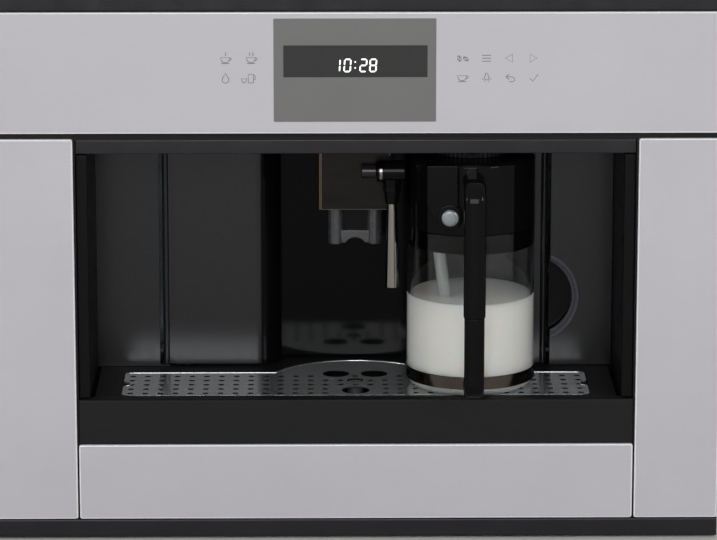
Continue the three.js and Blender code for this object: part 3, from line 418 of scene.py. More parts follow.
# %% [markdown]
# ## Moulded plastics
# Most of what is dark on the machine is ABS, and the steel of its mould decides the surface: etched,
# satin or polished. The clear mouldings are a copolyester and a smoked styrene, which transmit light,
# and milk scatters it inside, which subsurface scattering imitates. Moulded surfaces are never quite
# flat, so even the polished ones get a slow relief of a few thousandths of a millimetre.

# %% Black plastics
# An etched mould leaves a matt grain without clear highlights. The real grain is about 0.3 mm, finer
# than a pixel here, so it is drawn at 1.2 mm.
grained_abs = noise_finish(
    "etched_black_abs", "#121213", "#1A1A1C", 1.2, (0.42, 0.56), relief_mm=0.05, ior=1.53,
    specular_ior_level=0.15,
)
# A satin mould gives a broad and soft highlight.
satin_abs = noise_finish(
    "satin_black_abs", "#17171A", "#1E1E21", 5, (0.2, 0.27), relief_mm=0.008, ior=1.53,
    specular_ior_level=0.28,
)
# Painted shade: deep in the cavity, where little light comes back, the black plastic is painted darker and
# duller.
shade_painted_abs = noise_finish(
    "black_abs_painted_shade", "#070708", "#0C0C0D", 5, (0.3, 0.4), relief_mm=0.01, ior=1.53,
    specular_ior_level=0.08,
)
# The alcove is polished, smooth enough to mirror the drip plate, and painted darker than the door's
# satin flats: painted shade of the recess, so the mirror image is faint.
alcove_painted_shade_abs = noise_finish(
    "polished_alcove_abs_painted_shade", "#060607", "#0A0A0B", 60, (0.08, 0.13), relief_mm=0.006,
    specular_ior_level=0.06,
)
# The scoop's rim is painted grey: painted light on the slope of the raised black rim, which lifts it
# from the black round it.
rim_abs_painted_light = noise_finish(
    "rim_abs_painted_light", "#54555D", "#5F6069", 3, (0.3, 0.4), relief_mm=0.01, specular_ior_level=0.4
)
# A polished mould gives small, sharp highlights on a nearly black ground.
polished_abs = noise_finish(
    "polished_black_abs", "#060607", "#0B0B0C", 60, (0.05, 0.09), relief_mm=0.006, ior=1.54,
    specular_ior_level=0.09,
)
# The spouts are smooth and a shade lighter, so their round form shows in the dark cavity.
spout_abs = noise_finish(
    "satin_spout_abs", "#2E2F32", "#37383B", 4, (0.22, 0.28), relief_mm=0.006, specular_ior_level=0.6
)
# Gloss paint gives the trims a soft line of light along their edges.
gloss_trim = noise_finish(
    "gloss_painted_trim", "#16161A", "#1D1D22", 25, (0.16, 0.24), specular_ior_level=0.3
)
print("black plastics:", grained_abs.name, satin_abs.name, polished_abs.name)

# %% Other plastics, milk and board
# Polypropylene is waxy: matt, and mottled by its mould in patches of a few millimetres.
grey_pp = noise_finish(
    "grey_polypropylene", "#5F6165", "#6B6E72", 2.5, (0.45, 0.55), relief_mm=0.03, ior=1.49
)
# Silver paint is full of metal flakes, so it is half a metal with a fine sparkle. The flakes are
# about 0.05 mm, and they are drawn at 0.8 mm.
silver_abs = noise_finish(
    "silver_painted_abs", "#84898C", "#8C9194", 0.8, (0.28, 0.34), relief_mm=0.001, metallic=0.5
)
# Copolyester is nearly as clear as glass, with a cool cast and a slow wave.
clear_copolyester = noise_finish(
    "clear_copolyester", "#DCE7EA", "#E8F1F2", 40, (0.06, 0.14), relief_mm=0.02,
    transmission_weight=0.85, ior=1.54,
)
# Smoke-tinted styrene lets some light through, and a fine haze blurs what lies behind it.
smoked_san = noise_finish(
    "smoked_styrene", "#3A3430", "#453E39", 40, (0.3, 0.38), relief_mm=0.003,
    transmission_weight=0.6, ior=1.57,
)
# A frosted tube passes light and keeps some of it as a soft white.
frosted_tube = noise_finish(
    "frosted_copolyester", "#DDE2E2", "#E4E8E8", 12, (0.12, 0.18), relief_mm=0.002,
    transmission_weight=0.7, ior=1.5,
)
# Milk has no hard shade: light goes in, scatters over some 8 mm, and comes out again nearby.
milk_surface = noise_finish(
    "fresh_milk", "#F6F5EF", "#FAF9F4", 25, (0.28, 0.34), ior=1.35,
    subsurface_weight=1.0, subsurface_radius=(0.008, 0.007, 0.006), subsurface_scale=1.0,
)
# Solder mask is a green lacquer, and the copper tracks under it make bumps about 1.5 mm wide.
circuit_laminate = noise_finish(
    "green_solder_mask", "#1B4D30", "#22603B", 1.5, (0.3, 0.4), relief_mm=0.03, coat_weight=0.4
)
print("other plastics:", grey_pp.name, silver_abs.name, clear_copolyester.name)

# %% [markdown]
# ## Metals
# A metal's colour tints its reflections, so a metal shows mostly what is round it, and its roughness
# decides how sharply. Brushing leaves parallel scratches, drawn here with a noise that is stretched along
# them. Zinc-plated sheet shows faint crystals about a centimetre across, which a texture of cells
# imitates: each cell has its own tone and roughness.


# %% Zinc plate
def spangled_zinc(name, dark, light, cell_mm):
    """Zinc plate: cells of their own tone and roughness, with a fine relief all over."""
    material, tree, shader = plain_shader(name, {"Metallic": 0.55})
    vector = object_space(tree, cell_mm)
    cells = add_node(tree, "ShaderNodeTexVoronoi", {"Vector": vector, "Scale": 1.0})
    tone = add_node(tree, "ShaderNodeSeparateColor", {"Color": cells.outputs["Color"]})
    mix = add_node(
        tree, "ShaderNodeMix", {0: tone.outputs[0], 6: linear(dark), 7: linear(light)}, data_type="RGBA"
    )
    rough = add_node(
        tree, "ShaderNodeMapRange", {"Value": tone.outputs[1], "To Min": 0.48, "To Max": 0.62}
    )
    fine = add_node(tree, "ShaderNodeTexNoise", {"Vector": vector, "Scale": 14.0, "Detail": 2.0})
    bump = add_node(tree, "ShaderNodeBump", {"Height": fine.outputs[0], "Distance": 0.02 * MM})
    tree.links.new(mix.outputs[2], shader.inputs["Base Color"])
    tree.links.new(rough.outputs[0], shader.inputs["Roughness"])
    tree.links.new(bump.outputs[0], shader.inputs["Normal"])
    return material


# The crystals give the sheet a dull patchwork of greys.
crystal_size = 9
zinc_plate = spangled_zinc("zinc_plated_sheet", "#94979B", "#A2A5A9", crystal_size)
print("zinc crystals are", crystal_size, "mm across")

# %% Steel, chrome, aluminium and bronze
# Satin steel mirrors softly, and its tone drifts over 40 mm from the rolling of the sheet.
drip_steel = noise_finish(
    "satin_drip_plate_steel", "#D2D6D9", "#D9DDE0", 40, (0.2, 0.24), metallic=0.85
)
# Painted shade: hardly any light gets into a punched hole, so its steel wall is painted nearly black.
hole_wall_painted_shade = noise_finish("hole_wall_steel_painted_shade", "#1C1C1D", "#262627", 2, (0.4, 0.5), metallic=0.6)
# Dark steel brushed sideways: highlights are drawn out across the scratches. Real scratches are finer
# than 0.1 mm, so they are drawn 0.9 mm wide.
dark_brushed = noise_finish(
    "dark_brushed_steel", "#1A1817", "#242221", 0.9, (0.3, 0.36), relief_mm=0.001,
    stretch=(45, 1, 1), metallic=1.0,
)
# The band is polished steel, its colour painted dark and warm: a painted reflection of dark, warm
# surroundings.
band_painted_reflection = noise_finish(
    "polished_band_painted_reflection", "#4E4842", "#5A534C", 4, (0.1, 0.18), relief_mm=0.002, metallic=1.0
)
# Chrome plate is a mirror with a faint wave over 30 mm; its colour is painted darker and warmer than
# chrome's own: a painted reflection of dark, warm surroundings.
chrome_painted_reflection = noise_finish(
    "chrome_painted_reflection_plate", "#827E78", "#8D8983", 30, (0.04, 0.08), relief_mm=0.004, metallic=1.0
)
# A casting has a rough skin of pits 1 to 2 mm wide, which scatters its highlights.
cast_aluminium = noise_finish(
    "cast_aluminium", "#A9ABAD", "#BDBFC1", 1.6, (0.4, 0.55), relief_mm=0.06, metallic=1.0
)
# Grinding leaves short scratches on the burr. They are drawn at 0.8 mm, coarser than the real ones.
ground_steel = noise_finish(
    "ground_tool_steel", "#77787A", "#8A8B8D", 0.8, (0.22, 0.34), relief_mm=0.02, metallic=1.0
)
# The plate's left edge is painted a warm bronze: a painted reflection, on that side only.
left_edge_painted_reflection = noise_finish("plate_edge_painted_reflection", "#5A4326", "#6E5533", 2, (0.3, 0.4), metallic=0.8)
print("metal finishes:", drip_steel.name, chrome_painted_reflection.name, cast_aluminium.name)

# %% [markdown]
# ## The glass front
# Four panes make the front: the control panel, a strip on each side of the opening, and the pane on
# the drip drawer. Each is a slab with small rounded corners. Its edges, chosen by the direction that a
# face points in, are painted nearly white, a painted highlight, so the bright line round each pane lies
# on the real edge of the slab.


# %% Panes
edge_flatness = 0.99


def pane(name, body):
    """A slab of back-painted glass, its edges painted nearly white as a highlight, in the place of its CAD
    pane.
    """
    x, y, z = ranges(name)
    bm = prism(soften(rectangle(*x, *z), 2.0), *y, axis="y", bevel=1.1, steps=3)
    # The edge faces get the painted highlight.
    paint(bm, 1, facing("y", edge_flatness))
    return finish_piece(name + "_pane", bm, [painted_glass, painted_edge_highlight], body, name)


for name in ("control_glass", "flank_glass_left", "flank_glass_right"):
    pane(name, "chassis")
pane("lower_glass", "drip_drawer")
glass_y = ranges("control_glass")[1][0]
print("panes made; the face of the glass is at y =", round(glass_y, 1), "mm")

# %% [markdown]
# ## The display
# Behind the control panel's clear window lies a smoked frame with a narrow liquid-crystal panel, and
# its lit segments show the time. Printed windows have no thickness of their own, so each layer is a
# sheet a few hundredths of a millimetre proud of the last. Each digit has up to seven six-sided segments.

# %% Display window
window_lift, panel_lift, digit_lift = 0.05, 0.08, 0.11


def sheet_on_glass(outline, lift, thickness=0.06):
    """A thin sheet that stands proud of the glass by the given lift."""
    return prism(outline, glass_y - lift, glass_y - lift + thickness, axis="y")


window_area, panel_area = (-66.3, 64.5, 349.5, 433.7), (-58.4, 57.5, 385.9, 411.9)
window = sheet_on_glass(soften(rectangle(*window_area), 1.0), window_lift)
panel = sheet_on_glass(soften(rectangle(*panel_area), 0.6), panel_lift)
finish_piece(
    "display_window", merge(paint(window, 0), paint(panel, 1)), [smoked_window, display_panel],
    "chassis",
)
print("display window is", round(window_area[1] - window_area[0], 1), "mm wide")

# %% Digits
digit_segments = {"0": "abcdef", "1": "bc", "2": "abged", "8": "abcdefg"}
digit_width, digit_height, digit_base = 4.9, 9.9, 390.6
segment_thick, segment_gap, slant = 1.15, 0.25, 0.06


def segment(x, z, length, thick, upright):
    """The outline of one bar with pointed ends, from its lower or left end."""
    tip = thick / 2
    if upright:
        return [(x, z), (x + tip, z + tip), (x + tip, z + length - tip), (x, z + length),
                (x - tip, z + length - tip), (x - tip, z + tip)]
    return [(x, z), (x + tip, z + tip), (x + length - tip, z + tip), (x + length, z),
            (x + length - tip, z - tip), (x + tip, z - tip)]


def digit(symbol, x):
    """The lit bars of one digit, each with a gap at its ends and the whole leaning a little."""
    width, half = digit_width, digit_height / 2
    places = {
        "a": (0, digit_height, width, 0), "g": (0, half, width, 0), "d": (0, 0, width, 0),
        "f": (0, half, half, 1), "b": (width, half, half, 1),
        "e": (0, 0, half, 1), "c": (width, 0, half, 1),
    }
    parts = []
    for key in digit_segments[symbol]:
        px, pz, length, upright = places[key]
        start = (px, pz + segment_gap) if upright else (px + segment_gap, pz)
        outline = segment(*start, length - 2 * segment_gap, segment_thick, upright)
        leaning = [(x + a + slant * b, digit_base + b) for a, b in outline]
        parts.append(sheet_on_glass(leaning, digit_lift))
    return parts


time_parts = []
for symbol, x in (("1", -18.2), ("0", -9.6), ("2", 3.2), ("8", 11.0)):
    time_parts += digit(symbol, x)
dot_x, dot_size = -1.2, 1.1
for z in (393.0, 397.8):
    time_parts.append(sheet_on_glass(rectangle(dot_x, dot_x + dot_size, z, z + dot_size), digit_lift))
finish_piece("display_digits", merge(*time_parts), lit_segment, "chassis")
print("digits made, with", len(time_parts), "lit segments")

# %% [markdown]
# ## Touch icons
# The keys are only thin lines of ink printed on the glass, with a sensor behind each. A curve with a
# round cross-section draws such a line well: it is flattened onto the glass, half sunk into it, and made
# a mesh. The icons are plain signs: cups, a drop, a mug, beans, a list, arrows, a lamp and a tick.

# %% Icon outlines
# Each icon is a list of lines, and each line a list of (x, z) points about the icon's middle.
cup = [[(-4.2, 1.8), (-3.2, -0.9), (-1.6, -2.2), (1.0, -2.2), (2.6, -0.9), (3.4, 1.8), (-4.2, 1.8)],
       [(3.2, 1.5), (4.7, 1.3), (4.3, 0.0), (2.9, -0.6)], [(-3.6, -3.0), (3.0, -3.0)]]
steam_one = [[(-0.3, 3.1), (0.2, 4.1), (-0.3, 5.1), (0.2, 6.1)]]
steam_two = [[(x, 3.1), (x + 0.5, 4.1), (x, 5.1), (x + 0.5, 6.1)] for x in (-1.6, 1.0)]
drop = [[(0, 4.4), (1.6, 1.6), (2.7, -0.6), (2.4, -2.6), (0, -3.9), (-2.4, -2.6), (-2.7, -0.6),
         (-1.6, 1.6), (0, 4.4)]]
mug = [[(-1.2, 3.4), (3.0, 3.4), (3.0, -3.0), (2.4, -3.6), (-0.6, -3.6), (-1.2, -3.0), (-1.2, 3.4)],
       [(3.0, 2.6), (4.4, 2.2), (4.4, -0.6), (3.0, -1.2)],
       [(-6.8, -0.2), (-2.4, -0.2), (-3.2, -2.6), (-4.0, -3.4), (-5.2, -3.4), (-6.0, -2.6),
        (-6.8, -0.2)]]


def bean(x, z, tilt):
    """A coffee bean: an oval and its crease, turned about its middle."""
    turn = math.radians(tilt)
    ring = [(1.3 * math.cos(a), 2.4 * math.sin(a)) for a in [math.pi * i / 6 for i in range(13)]]
    crease = [(0.1, 2.0), (0.5, 0.7), (-0.5, -0.7), (-0.1, -2.0)]
    return [
        [(x + px * math.cos(turn) - pz * math.sin(turn), z + px * math.sin(turn) + pz * math.cos(turn))
         for px, pz in line]
        for line in (ring, crease)
    ]


beans = bean(-2.6, 0, 15) + bean(2.6, -0.3, 55)
menu = [[(-3.6, z), (3.6, z)] for z in (2.4, 0.0, -2.4)]
back_key = [[(2.6, 3.4), (-3.0, 0.0), (2.6, -3.4), (2.6, 3.4)]]
next_key = [[(-2.6, 3.4), (3.0, 0.0), (-2.6, -3.4), (-2.6, 3.4)]]
lamp = [[(-1.1, 3.6), (1.1, 3.6), (1.1, 1.6), (2.0, 0.2), (1.4, -1.4), (0, -2.0), (-1.4, -1.4),
         (-2.0, 0.2), (-1.1, 1.6), (-1.1, 3.6)],
        [(2.4, -1.0), (3.6, -1.4)], [(-2.4, -1.0), (-3.6, -1.4)], [(1.4, -2.4), (2.1, -3.4)],
        [(-1.4, -2.4), (-2.1, -3.4)]]
undo = [[(-3.4, 0.8), (-0.8, 3.0)], [(-3.4, 0.8), (-0.8, -1.4)],
        [(-3.4, 0.8), (1.6, 0.8), (3.4, -0.4), (3.4, -2.2), (1.6, -3.2), (-0.8, -3.2)]]
tick = [[(-3.2, -0.4), (-0.8, -2.8), (3.4, 3.0)]]
icons = [
    (-104.7, 400.2, cup + steam_one), (-84.0, 400.2, cup + steam_two), (-104.9, 385.0, drop),
    (-85.4, 385.0, mug), (85.6, 401.0, beans), (104.8, 401.2, menu), (123.0, 401.2, back_key),
    (142.4, 401.2, next_key), (85.6, 385.2, cup), (105.0, 385.4, lamp), (124.0, 385.2, undo),
    (143.0, 385.2, tick),
]
print("icons drawn:", len(icons))


# %% Ink on the glass
def add_line(drawing, points, closed):
    """Adds one line of straight steps to a curve."""
    spline = drawing.splines.new("POLY")
    spline.points.add(len(points) - 1)
    spline.use_cyclic_u = closed
    for spot, place in zip(spline.points, points):
        spot.co = (*place, 1)


def curve_mesh(drawing):
    """Makes a curve a mesh, and removes the curve."""
    holder = bpy.data.objects.new("holder", drawing)
    bpy.context.scene.collection.objects.link(holder)
    mesh = bpy.data.meshes.new_from_object(holder.evaluated_get(bpy.context.evaluated_depsgraph_get()))
    bm = bmesh.new()
    bm.from_mesh(mesh)
    bpy.data.objects.remove(holder)
    bpy.data.curves.remove(drawing)
    bpy.data.meshes.remove(mesh)
    return bm


def ink_lines(icon_list, line_width, flattening=0.2):
    """Draws the icons as round lines and presses them flat onto the glass."""
    drawing = bpy.data.curves.new("ink_lines", "CURVE")
    drawing.dimensions, drawing.bevel_depth, drawing.bevel_resolution = "3D", line_width / 2, 1
    drawing.use_fill_caps = True
    for cx, cz, lines in icon_list:
        for points in lines:
            closed = points[0] == points[-1]
            kept = points[:-1] if closed else points
            add_line(drawing, [(cx + px, 0, cz + pz) for px, pz in kept], closed)
    bm = curve_mesh(drawing)
    for vert in bm.verts:
        vert.co.y = glass_y + vert.co.y * flattening
    return bm


finish_piece("touch_icons", ink_lines(icons, 0.62), printed_ink, "chassis")
print("touch icons printed:", len(icons))

# %% [markdown]
# ## Trims, carrier and fascia
# Dark painted trims close the front above and below. The black carrier behind the glass shows only in
# the gap under the control panel, where two fine grooves run across. The header band and the drawer's
# fascia are plain mouldings, so rounded slabs replace their CAD blocks and catch a soft line along their
# edges. The fascia stands in two steps: its face above the lower glass, and a carrier behind that glass.

# %% Trims and fascia
coat(gloss_trim, "top_trim", "bottom_trim")
coat(grained_abs, "front_frame")
finish_piece(
    "header_band_moulding", slab(*ranges("header_band"), bevel=0.8), gloss_trim, "chassis",
    "header_band",
)
finish_piece(
    "display_unit", slab(*ranges("display_module"), bevel=0.8), satin_abs, "chassis", "display_module"
)
fascia_x, fascia_y, fascia_z = ranges("tray_fascia")
lower_glass_y, lower_glass_z = ranges("lower_glass")[1:]
fascia_front = slab(fascia_x, fascia_y, (lower_glass_z[1] + 0.3, fascia_z[1]), bevel=1.2, steps=3)
fascia_carrier = slab(
    (fascia_x[0] + 2, fascia_x[1] - 2), (lower_glass_y[1] + 0.3, fascia_y[1]),
    (fascia_z[0], lower_glass_z[1] + 2), bevel=0.6,
)
finish_piece(
    "tray_fascia_moulding", merge(fascia_front, fascia_carrier), grained_abs, "drip_drawer",
    "tray_fascia",
)
print("fascia is", round(fascia_x[1] - fascia_x[0], 1), "mm wide")

# %% [markdown]
# ## The cavity
# The cavity is a black box: side walls, a ceiling with the door's upper pivot, and two fixed strips of
# back wall. Their front edges are rounded so that they show as soft vertical lines against the dark
# inside. The ceiling and the left strip, which carry the pivots, keep their CAD shape and only take a
# finish. The right strip has the finger scoop: a round dish cut into a boss behind the wall, of which
# only half lies in the strip, because the door covers the rest.

# %% Cavity walls
for side in ("left", "right"):
    node = "cavity_side_" + side
    wall = slab(*ranges(node), bevel=1.4, steps=3)
    # The side walls get the painted shade.
    finish_piece(node + "_wall", wall, shade_painted_abs, "chassis", node)
coat(grained_abs, "cavity_ceiling")
coat(satin_abs, "cavity_wall_left")

cavity_depth = 115
wall_face = glass_y + cavity_depth
print("cavity walls made; the back wall stands at y =", round(wall_face, 1), "mm")

# %% Finger scoop
wall_x, _, wall_z = ranges("cavity_wall_right")
scoop_x, scoop_z, scoop_radius, scoop_depth = 150.0, 177.6, 36.0, 18
fixed_wall = slab(wall_x, (wall_face, wall_face + 4), wall_z, bevel=0.5)
boss_outline = soften(rectangle(wall_x[0], 190, scoop_z - 40, scoop_z + 40), 6)
scoop_boss = prism(boss_outline, wall_face + 1, wall_face + 21, axis="y", bevel=0.6)
scoop = bar(
    (scoop_x, wall_face - 2, scoop_z), (scoop_x, wall_face + scoop_depth, scoop_z), scoop_radius,
    edge=4, steps=96,
)
scoop_wall = carve(carve(fixed_wall, scoop_boss, operation="UNION"), scoop)


def in_scoop(face):
    """Chooses the faces inside the dish, which get the painted shade."""
    spot = face.calc_center_median()
    recessed = wall_face + 0.2 < spot.y < wall_face + scoop_depth + 0.5
    return recessed and math.hypot(spot.x - scoop_x, spot.z - scoop_z) < scoop_radius + 0.1


# The inside of the dish gets the painted shade.
finish_piece(
    "cavity_wall_scoop", paint(paint(scoop_wall, 0), 1, in_scoop), [satin_abs, shade_painted_abs], "chassis",
    "cavity_wall_right",
)

# The grip's rim is a raised half ring, so fingers find it without looking.
rim_profile = [
    (33.2, 5.0), (33.2, 2.6), (38.0, -1.6), (38.9, -1.2), (38.9, 0.4), (35.9, 0.4), (35.9, 5.0)
]
rim = lathe(soften(rim_profile, 0.5), steps=96, closed=True)
bmesh.ops.transform(rim, matrix=Matrix.Rotation(math.radians(-90), 4, "X"), verts=rim.verts)
bmesh.ops.translate(rim, vec=(scoop_x, wall_face, scoop_z), verts=rim.verts)
half = slab(
    (wall_x[0] + 0.6, 200), (wall_face - 6, wall_face + 8), (scoop_z - 50, scoop_z + 50), bevel=0
)
# The rim gets its painted light.
finish_piece("scoop_rim", carve(rim, half, operation="INTERSECT"), rim_abs_painted_light, "chassis", sharp=40)
print("finger scoop made,", 2 * scoop_radius, "mm across")

# %% [markdown]
# ## The service door
# The middle of the back wall is a door. Its plan is flat at the sides and turns in to an alcove for the
# cup, with a shallow groove and a round bead along each edge. The plan outline is pushed upwards, with
# enough points on its curves that the plastic shows a smooth highlight where the CAD solid shows facets.
# The flats are satin and the alcove is polished, so the cup's plate mirrors in it; the alcove is also
# painted darker, as painted shade of the recess. The port that the milk jug docks on is a small square
# plate with a nozzle.

# %% Door
door_x, _, door_z = ranges("service_door")
door_half, alcove_half, alcove_round, alcove_depth, door_thick = 153.0, 62.0, 22.0, 30.0, 7.0
bead_x, bead_radius = 159.03, 2.65
jug_x, port_z, port_half = 95.3, 289.5, 9


def door_plan():
    """The door's outline from above: front from left to right, then the back."""
    flat = alcove_half + alcove_round
    turn_y = wall_face + alcove_round
    back = wall_face + alcove_depth
    inner_round = alcove_round - door_thick
    left = arc(-flat, turn_y, alcove_round, -90, 0, 20) + [(-alcove_half, back)]
    right = [(-x, y) for x, y in reversed(left)]
    front = [(-door_half, wall_face)] + left + right + [(door_half, wall_face)]
    skin = arc(flat, turn_y, inner_round, -90, -180, 16)
    skin.append((alcove_half + door_thick, back + door_thick))
    rear = [(door_half, wall_face + door_thick)] + skin + [(-x, y) for x, y in reversed(skin)]
    return front + rear + [(-door_half, wall_face + door_thick)]


# Faces of the alcove take the polished black with its painted shade.
door = paint(
    prism(door_plan(), *door_z, bevel=0.5, steps=2), 1,
    lambda face: abs(face.calc_center_median().x) < alcove_half + alcove_round * 0.8,
)
beads = []
for side in (-1, 1):
    x = side * bead_x
    bead_low, bead_high = [(x, wall_face + bead_radius, z) for z in door_z]
    beads.append(bar(bead_low, bead_high, bead_radius, edge=0.5, steps=32, bore=1.6))
    web = sorted((side * (door_half - 1), side * (bead_x - 1.9)))
    beads.append(slab(web, (wall_face + 2.6, wall_face + 5), door_z, bevel=0.2))
port_plate = slab(
    (jug_x - port_half, jug_x + port_half), (wall_face - 3, wall_face + 1),
    (port_z - port_half, port_z + port_half), bevel=1.0,
)
port_nozzle = bar(
    (jug_x, wall_face + 0.5, port_z), (jug_x, wall_face - 11, port_z), 4, edge=0.8, bore=2.0
)
finish_piece(
    "service_door_panel", merge(door, *beads, port_plate, port_nozzle), [satin_abs, alcove_painted_shade_abs],
    "service_door", "service_door",
)
door_size = [round(high - low, 1) for low, high in (door_x, door_z)]
print("door is", door_size[0], "mm wide and", door_size[1], "mm high")

# %% [markdown]
# ## Spout housing and coffee spouts
# A dark brushed steel plate covers the front of the spout housing; its cut edges are bright, and the box
# behind it is black. The twin spouts hang on a carriage that slides in the housing, joined near their
# ends by a bridge with an arch cut out of it. The plate is separate from the box, so each has its own
# finish and its own rounded edge. A lug on the housing holds the axle that the milk spout turns on.

# %% Housing
housing_half, housing_face, housing_back = 29.8, glass_y + 55, glass_y + 144.7
housing_bottom, housing_top = 265.0, 321.0
elbow_y, elbow_z = glass_y + 45, 300.0
box_outer = slab(
    (-housing_half, housing_half), (housing_face + 1.2, housing_back), (housing_bottom, housing_top),
    bevel=1.0,
)
box_hollow = slab(
    (-26.8, 26.8), (housing_face + 3, housing_back - 11.7), (housing_bottom - 2, housing_top - 3),
    bevel=0,
)
lug_left, lug_right, axle_end = 5, 17, 37
lug = slab((lug_left, lug_right), (elbow_y, housing_face + 3), (elbow_z - 6, elbow_z + 6), bevel=1.5)
lug_eye = bar((lug_left, elbow_y, elbow_z), (lug_right, elbow_y, elbow_z), 6, edge=0.8)
axle = bar((lug_left + 2, elbow_y, elbow_z), (axle_end, elbow_y, elbow_z), 3, edge=0.4)
finish_piece(
    "spout_housing_box", merge(carve(box_outer, box_hollow), lug, lug_eye, axle), satin_abs,
    "service_door", "spout_housing",
)
plate_rise = (housing_bottom + 0.2, housing_top)
plate = slab((-28.6, 28.6), (housing_face, housing_face + 1.6), plate_rise, bevel=0.6, steps=3)
finish_piece(
    "spout_housing_plate", paint(plate, 1, facing("y", edge_flatness)), [dark_brushed, chrome_painted_reflection],
    "service_door",
)
# Only the left edge strip carries the painted warm reflection; the plate's other edges stay chrome.
edge_strip = slab((-29.8, -28.9), (housing_face + 0.3, housing_face + 1.6), plate_rise, bevel=0.3)
finish_piece("spout_housing_edge", edge_strip, left_edge_painted_reflection, "service_door")
print("spout housing is", 2 * housing_half, "mm wide")

# %% Coffee spouts
spout_y, spout_bottom, carriage_bottom = glass_y + 75, 233.0, 268.0
carriage = slab(
    (-26.3, 26.3), (glass_y + 58.5, spout_y + 18), (carriage_bottom, carriage_bottom + 32), bevel=0.8
)
tubes = [
    bar((x, spout_y, spout_bottom), (x, spout_y, carriage_bottom + 2), 6.4, edge=0.9, bore=3.5, steps=48)
    for x in (-16, 16)
]
arch = arc(0, 229.5, 9.2, 150, 30, 16)
bridge_outline = [(-11.5, 244.5), (-11.5, 234.5)] + arch + [(11.5, 234.5), (11.5, 244.5)]
bridge = prism(bridge_outline, spout_y - 4.5, spout_y + 3, axis="y", bevel=0.5)
baffle = slab((-13, 13), (spout_y + 1, spout_y + 4), (236, carriage_bottom + 2), bevel=0.4)
# The carriage and the baffle between the spouts get the painted shade.
finish_piece(
    "twin_coffee_spout", merge(paint(carriage, 1), *tubes, bridge, paint(baffle, 1)),
    [spout_abs, shade_painted_abs], "coffee_spout", "coffee_spout",
)
print("twin spout made, its ends", spout_bottom, "mm above the floor")

# %% [markdown]
# ## The milk spout
# Frothed milk leaves through a chrome sleeve that hangs from a black elbow and widens a little downwards.
# A profile turned about the sleeve's axis gives its taper and rolled rim, and a small notch in the
# sleeve's side shows where it clips on. The elbow turns on the axle of the housing, and a chrome ring
# round it marks the joint.

# %% Elbow and sleeve
milk_x = 30.0
knuckle = bar((17.3, elbow_y, elbow_z), (41, elbow_y, elbow_z), 9, edge=1.6, steps=48, bore=3.3)
socket = bar(
    (milk_x, elbow_y, elbow_z - 27), (milk_x, elbow_y, elbow_z - 6), 5.4, edge=0.8, steps=48, end_radius=8
)
collar = bar((milk_x, elbow_y, elbow_z - 17), (milk_x, elbow_y, elbow_z - 13), 7.4, edge=0.8, steps=48)
ring = bar((19.4, elbow_y, elbow_z), (22.2, elbow_y, elbow_z), 9.35, edge=0.9, steps=64, bore=8.2)
finish_piece("milk_elbow_ring", ring, chrome_painted_reflection, "milk_spout")
finish_piece(
    "milk_spout_elbow", merge(knuckle, socket, collar), polished_abs, "milk_spout", "milk_elbow",
)
sleeve_top, sleeve_bottom = 272.7, 202.7
sleeve_profile = [
    (3.2, sleeve_bottom + 1), (3.6, sleeve_bottom), (5.9, sleeve_bottom), (3.95, sleeve_top),
    (2.6, sleeve_top), (2.6, sleeve_bottom + 12),
]
sleeve = lathe(soften(sleeve_profile, 0.5), (milk_x, elbow_y), 64, closed=True)
notch = slab(
    (milk_x + 3.0, milk_x + 8), (elbow_y - 1.6, elbow_y + 1.6), (sleeve_top - 11, sleeve_top - 8),
    bevel=0.4,
)
# The sleeve's chrome colour carries the painted reflection.
finish_piece(
    "milk_spout_sleeve", carve(sleeve, notch), chrome_painted_reflection, "milk_spout", "milk_sleeve"
)
print("milk sleeve is", sleeve_top - sleeve_bottom, "mm long")

# %% [markdown]
# ## The drip plate
# The plate is a stamping: rows of 5 mm holes and a few large ones under the spouts, with its edge rolled
# over. Many round holes are easiest to fill with a flat 2D curve, because Blender leaves every inner
# outline open. The curve is given the sheet's thickness and a small rounding, and is then made a mesh.
# The rolled edge is a second, thicker outline round the sheet. The walls of the holes, chosen by the
# direction that they face, are painted nearly black: painted shade inside the holes.

# %% Sheet with holes
sheet_top = ranges("drip_plate")[2][1]
plate_half, plate_front, plate_back = 193.0, glass_y + 17, glass_y + 94
bulge_y, bulge_radius = glass_y + 60, 75.0


def plate_outline(inset=0.0):
    """The plate from above: a grip notch in each side, and a bulge at the back into the alcove."""
    half_x, front, back = plate_half - inset, plate_front + inset, plate_back - inset
    radius = bulge_radius - inset
    meet = math.degrees(math.asin((back - bulge_y) / radius))
    notch_x = half_x - 5 + inset * 0.2
    side = [(half_x, -172), (half_x, -151), (notch_x, -149), (notch_x, -139), (half_x, -137)]
    corners = [(0, front), (half_x, front)] + side + [(half_x, back), (80, back)]
    right = soften(corners, 6, 6, closed=False)[1:-1]
    bulge = arc(0, bulge_y, radius, meet, 180 - meet, 48)
    return right + bulge + [(-x, y) for x, y in reversed(right)]


def flat_sheet(outlines, z_middle, thickness, rounding):
    """A sheet of the outer outline with every other outline open, its edges rounded."""
    drawing = bpy.data.curves.new("sheet", "CURVE")
    drawing.dimensions, drawing.fill_mode = "2D", "BOTH"
    drawing.extrude, drawing.bevel_depth = thickness / 2 - rounding, rounding
    drawing.bevel_resolution, drawing.offset = 1, -rounding
    for outline in outlines:
        add_line(drawing, [(x, y, 0) for x, y in outline], True)
    bm = curve_mesh(drawing)
    bmesh.ops.remove_doubles(bm, verts=bm.verts, dist=0.001)
    bmesh.ops.translate(bm, vec=(0, 0, z_middle), verts=bm.verts)
    return bm


print("drip plate is", 2 * plate_half, "mm wide")

